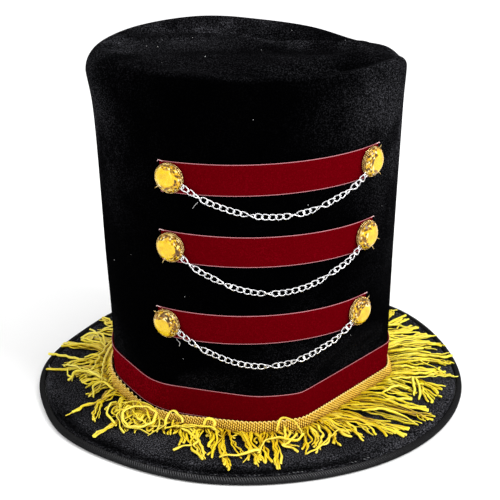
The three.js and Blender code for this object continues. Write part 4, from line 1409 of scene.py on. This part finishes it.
def clump_places(clump, cord, draw):
    """The places along one cord of a clump: from its root to the waist, where the cords lie
    round one another, and on to a tip in the fan."""
    count, tight, thick = clump["cords"], clump["tight"], CORD["radius"]
    side = (cord + 0.5) / count - 0.5
    start = clump["root"] + side * clump["spread"] + draw.uniform(-0.4, 0.4)
    first = cord_start(start, draw)
    root_radius = first[-1][1]
    tip_radius = clump["reach"] + draw.uniform(-7, 2)
    waist_radius = lerp(root_radius, tip_radius, clump["waist"])
    bundle = BUNDLE["size"] * thick * math.sqrt(count)
    off = bundle * math.sqrt((cord + 0.5) / count)
    turned = cord * BUNDLE["turn"] + draw.uniform(-0.3, 0.3)
    waist = lerp(clump["root"], clump["tip"], clump["waist"]) + clump["off"]
    waist += side * clump["spread"] * max(0.0, 1 - 0.75 * tight)
    waist += math.degrees(off * math.cos(turned) * BUNDLE["wide"] / (tight * waist_radius))
    waist_height = thick + BUNDLE["high"] * (bundle + off * math.sin(turned))
    fan = clump["fan"] * (side + draw.uniform(-0.25, 0.25))
    tip = clump["tip"] + math.degrees(fan / tip_radius)
    early = lerp(start, waist, 0.55) + draw.uniform(-1.2, 1.2) * (1.2 - 0.6 * tight)
    late = lerp(waist, tip, 0.5) + draw.uniform(-0.8, 0.8)
    early_height = lerp(2.6, waist_height, 0.5) + draw.uniform(0, 2.4)
    late_height = lerp(waist_height, thick, 0.55) + draw.uniform(0, 0.8)
    return [
        *first,
        (early, lerp(root_radius, waist_radius, 0.5), early_height),
        (waist, waist_radius, waist_height),
        (late, lerp(waist_radius, tip_radius, 0.5), late_height),
        (tip, tip_radius, thick + draw.uniform(0, 0.6)),
    ]


def clump_shapes(clump, draw):
    """A clump of cords, darker at their roots and in the knot where they are tied tightly."""
    along = np.linspace(0, 1, 8)
    root_shade = 0.2 * (1 - smoothstep(along, 0, 0.4))
    knot = 0.45 * smoothstep(clump["tight"], 0.9, 1.4) * bell(along - clump["waist"], 0.14)
    shapes = []
    for cord in range(clump["cords"]):
        places = clump_places(clump, cord, draw)
        light = draw.uniform(0.36, 0.97) - 0.3 * clump["gold"]
        shapes.append(cord_shape(places, draw, light - root_shade - knot))
    return shapes


def loose_shapes(draw):
    """The cords that lie singly between the clumps and fill the gaps near the header."""
    shapes = []
    for row in LOOSE:
        for cord in range(row["cords"]):
            start = lerp(row["from"], row["to"], (cord + draw.uniform()) / row["cords"])
            places = cord_start(start, draw)
            root_radius = places[-1][1]
            reach = draw.uniform(row["near"], row["far"])
            tip = start + row["sweep"] + draw.uniform(-5, 5)
            for along, out, low, high in ((0.2, 0.35, 1.8, 4.5), (0.6, 0.7, 1.4, 3.5)):
                bearing = lerp(start, tip, along) + draw.uniform(-1.5, 1.5)
                places.append((bearing, lerp(root_radius, reach, out), draw.uniform(low, high)))
            places.append((tip, reach, CORD["radius"] + draw.uniform(0, 1.0)))
            light = draw.uniform(0.4, 0.85) - 0.4 * row["gold"]
            shapes.append(cord_shape(places, draw, (light - 0.25, light, light), 18))
    return shapes


def back_clumps():
    """Clumps like the charted ones, round the back."""
    draw = np.random.default_rng(SEEDS["back_clumps"])
    rows = []
    for root in np.arange(BACK_CLUMPS["from"], BACK_CLUMPS["to"], BACK_CLUMPS["step"]):
        tip = root + draw.uniform(-4, 4)
        reach, waist = draw.uniform(134, 152), draw.uniform(0.45, 0.7)
        tight, fan = draw.uniform(0.7, 1.4), draw.uniform(4, 12)
        gold, cords = draw.uniform(0, 0.4), int(draw.integers(7, 10))
        off = draw.uniform(-2, 2)
        rows.append((root, BACK_CLUMPS["spread"], cords, tip, reach, waist, off, tight, fan, gold))
    return table(CLUMP_COLUMNS, *rows)


def tangle_shapes(draw):
    """The arcs that lie on one another at the front left, half over the header."""
    shapes = []
    for loop in range(TANGLE["loops"]):
        grow = draw.uniform(0.5, 1.05)
        turns = draw.uniform(0, 2 * math.pi) + np.linspace(0, draw.uniform(0.9, 2.4), 9)
        along = TANGLE["along"] * grow * np.cos(turns) + draw.uniform(-12, 12)
        across = TANGLE["across"] * grow * np.sin(turns + draw.uniform(-0.8, 1.2))
        across += draw.uniform(-5, 5)
        radius = TANGLE["radius"] + across
        bearing = TANGLE["bearing"] + np.degrees(along / radius)
        height = TANGLE["height"] + 2.5 * np.cos(turns * 1.5 + loop) - 0.35 * across
        height[[0, -1]] = 2.0
        places = np.stack([bearing, radius, np.maximum(height, 1.2)], 1)
        shapes.append(cord_shape(places, draw, draw.uniform(0.5, 0.9, 3), 26))
    return shapes


def stray_shapes(draw):
    """Single cords that wander over their neighbours, on the right and round the back."""
    shapes = []
    radius, steps = STRAYS["radius"], STRAYS["steps"]
    for root in np.arange(STRAYS["from"], STRAYS["to"], STRAYS["step"]):
        start = root + draw.uniform(-2, 2)
        reach = draw.uniform(20, 38)
        drift = np.cumsum(draw.uniform(-4, 4, steps))
        places = [(start, radius, 3.0 + draw.uniform(0, 2))]
        for along, drifted in zip(np.arange(1, steps + 1) / steps, drift):
            height = lerp(5.5, 1.2, along**1.5) + draw.uniform(-0.5, 0.8)
            places.append((start + drifted * along, radius + reach * along, height))
        shapes.append(cord_shape(places, draw, draw.uniform(0.5, 0.9, 3)))
    return shapes


def fringe_shapes():
    """The cords that show from the front, and those round the back."""
    draw = np.random.default_rng(SEEDS["fringe"])
    front, back = [], []
    for clump in CLUMPS + back_clumps():
        side = back if clump["root"] > 75 else front
        side += clump_shapes(clump, draw)
    for curl in CURLS:
        front.append(cord_shape(curl, draw, draw.uniform(0.75, 1.05, 3), 28))
    front += tangle_shapes(draw)
    front += loose_shapes(draw)
    back += stray_shapes(draw)
    return front, back


# ------------------------------------------------------------------ lint

# Specks on the crown's wall, by bearing and height, and on its tip, by x and y. Threads
# and a fleck lie on the wall and on the brim.
WALL_SPECKS = [
    (-58, 120), (-72, 108), (-33, 101), (-28, 86), (11, 165),
    (-35, 55), (33, 65), (-8, 222), (48, 150),
]
TIP_SPECKS = [
    (-69, 9), (-62, 3), (-57, 25), (-81, -55), (-64, -50),
    (-35, -38), (-36, 26), (43, 74), (67, 5), (6, -10),
]
THREADS = [
    [(-26.8, 167.2), (-27.8, 165.2), (-28.7, 162.8)],
    [(-37.5, 69), (-36, 66.5), (-36.3, 64)],
]
BRIM_FLECK = [(-98.0, 148.2, 0.3), (-98.6, 149.2, 0.3), (-99.6, 149.6, 0.3)]


def lint_shapes():
    """Lint caught in the pile: specks, threads and one fleck on the brim."""
    draw = np.random.default_rng(SEEDS["lint"])
    shapes = []
    for bearing, z in WALL_SPECKS:
        place = at(bearing, wall_radius(bearing, z) + 0.15, z)
        shapes.append(bead(place, draw.uniform(0.16, 0.3)))
    for x, y in TIP_SPECKS:
        shapes.append(bead([x, y, tip_height(x, y) + 0.1], draw.uniform(0.2, 0.32)))
    for thread in THREADS:
        turns, levels = np.array(thread).T
        line = at(turns, wall_radius(turns, levels) + 0.3, levels)
        shapes.append(tube(smooth_line(line, 8), 0.2, 5))
    shapes.append(tube(smooth_line(lying_points(BRIM_FLECK), 6), 0.35, 5))
    return shapes


# ------------------------------------------------------------------ the hat

crown = add_piece("crown_velvet", [crown_shape()], BLACK_VELVET, ["crown"])
brim = add_piece("brim_velvet", [brim_shape()], BRIM_VELVET, ["brim"])
add_piece("brim_welt", [welt_shape()], EDGE_CORD, ["brim_edge"])
add_piece("brim_stitches", stitch_shapes(), STITCH_THREAD)

band, band_edges = band_shapes()
band_piece = add_piece("hat_band_velvet", [band], RED_VELVET, ["hat_band"])
band_edge = add_piece("hat_band_selvedge", band_edges, SELVEDGE_THREAD)
band_length()
for row in ROWS:
    ribbon, ribbon_edges = ribbon_shapes(row)
    name = f"ribbon_{row['name']}"
    piece = add_piece(f"{name}_velvet", [ribbon], RED_VELVET, [name])
    edge = add_piece(f"{name}_selvedge", ribbon_edges, SELVEDGE_THREAD)
    ribbon_length(row)

for number, row in enumerate(ROWS):
    for side_number, side in enumerate(("left", "right")):
        origin, axes = stud_frame(row[side])
        place = f"{row['name']}_{side}"
        seed = 10 * number + side_number
        stone = moved(stone_shape(row[side], seed), origin, axes)
        add_piece(f"stone_{place}_cut", [stone], AMBER, [f"stone_{place}"], smooth=False)
        wires = [moved(shape, origin, axes) for shape in setting_shapes(row[side])]
        add_piece(f"setting_{place}_filigree", wires, GOLD, [f"setting_{place}"])
    chain = f"chain_{row['name']}"
    add_piece(f"{chain}_links", chain_shapes(row), SILVER, [chain])

front_cords, back_cords = fringe_shapes()
add_piece("fringe_cords_front", front_cords, FRINGE_THREAD, ["fringe"])
add_piece("fringe_cords_back", back_cords, FRINGE_THREAD)
add_piece("fringe_header", header_shapes(), HEADER_THREAD)
add_piece("lint", lint_shapes(), LINT)


# ------------------------------------------------------------------ floor, light and camera
# All in metres. The floor lies a little under the hat's foot.

FLOOR_PLATE = {"half": 6.0, "level": -0.0004}
SKY = {"toward": (0.30, -0.15, 0.94), "dim": 0.35, "bright": 1.25}
LIGHTS = table(
    "name place size watts",
    ("key", (1.1, -1.0, 1.5), 0.9, 28),
    ("fill", (-1.3, -0.7, 0.9), 1.0, 5),
)
LIT_PLACE = (0, 0, 0.12)
CAMERA = {"bearing": -9.0, "distance": 0.815, "height": 0.407, "down": 20.8, "lens": 87.55}


def add_object(name, data):
    made = bpy.data.objects.new(name, data)
    bpy.context.collection.objects.link(made)
    return made


def add_floor():
    mesh = bpy.data.meshes.new("floor")
    half = FLOOR_PLATE["half"]
    corners = [(-half, -half, 0), (half, -half, 0), (half, half, 0), (-half, half, 0)]
    mesh.from_pydata(corners, [], [(0, 1, 2, 3)])
    mesh.materials.append(FLOOR)
    floor = add_object("floor", mesh)
    floor.location.z = FLOOR_PLATE["level"]


def add_light(name, place, size, watts):
    """A square soft light that shines at the middle of the hat."""
    data = bpy.data.lights.new(name, "AREA")
    data.size = size
    data.energy = watts
    x, y, z = np.array(LIT_PLACE) - np.array(place)
    light = add_object(name, data)
    light.location = place
    light.rotation_euler = (math.atan2(math.hypot(x, y), -z), 0, math.atan2(-x, y))


def add_sky():
    """A white studio sky that is brighter overhead and to the right."""
    world = bpy.data.worlds.new("studio")
    world.use_nodes = True
    tree = world.node_tree
    where = node(tree, "TexCoord", {}).outputs["Generated"]
    toward = node(tree, "VectorMath", {0: where, 1: SKY["toward"]}, operation="DOT_PRODUCT")
    strength = stretched(tree, toward.outputs["Value"], -1.0, 1.0, SKY["dim"], SKY["bright"])
    feed(tree, tree.nodes["Background"], {"Color": (1, 1, 1, 1), "Strength": strength})
    bpy.context.scene.world = world


def add_camera():
    """The camera looks at the hat's axis from a little left of its front, and down."""
    data = bpy.data.cameras.new("camera")
    data.lens = CAMERA["lens"]
    data.sensor_width = 36
    data.clip_start = 0.01
    camera = add_object("camera", data)
    camera.location = at(CAMERA["bearing"], CAMERA["distance"], CAMERA["height"])
    camera.rotation_euler = (math.radians(90 - CAMERA["down"]), 0, math.radians(CAMERA["bearing"]))
    bpy.context.scene.camera = camera


add_floor()
add_sky()
for light in LIGHTS:
    add_light(**light)
add_camera()
bpy.context.scene.view_settings.view_transform = "Standard"
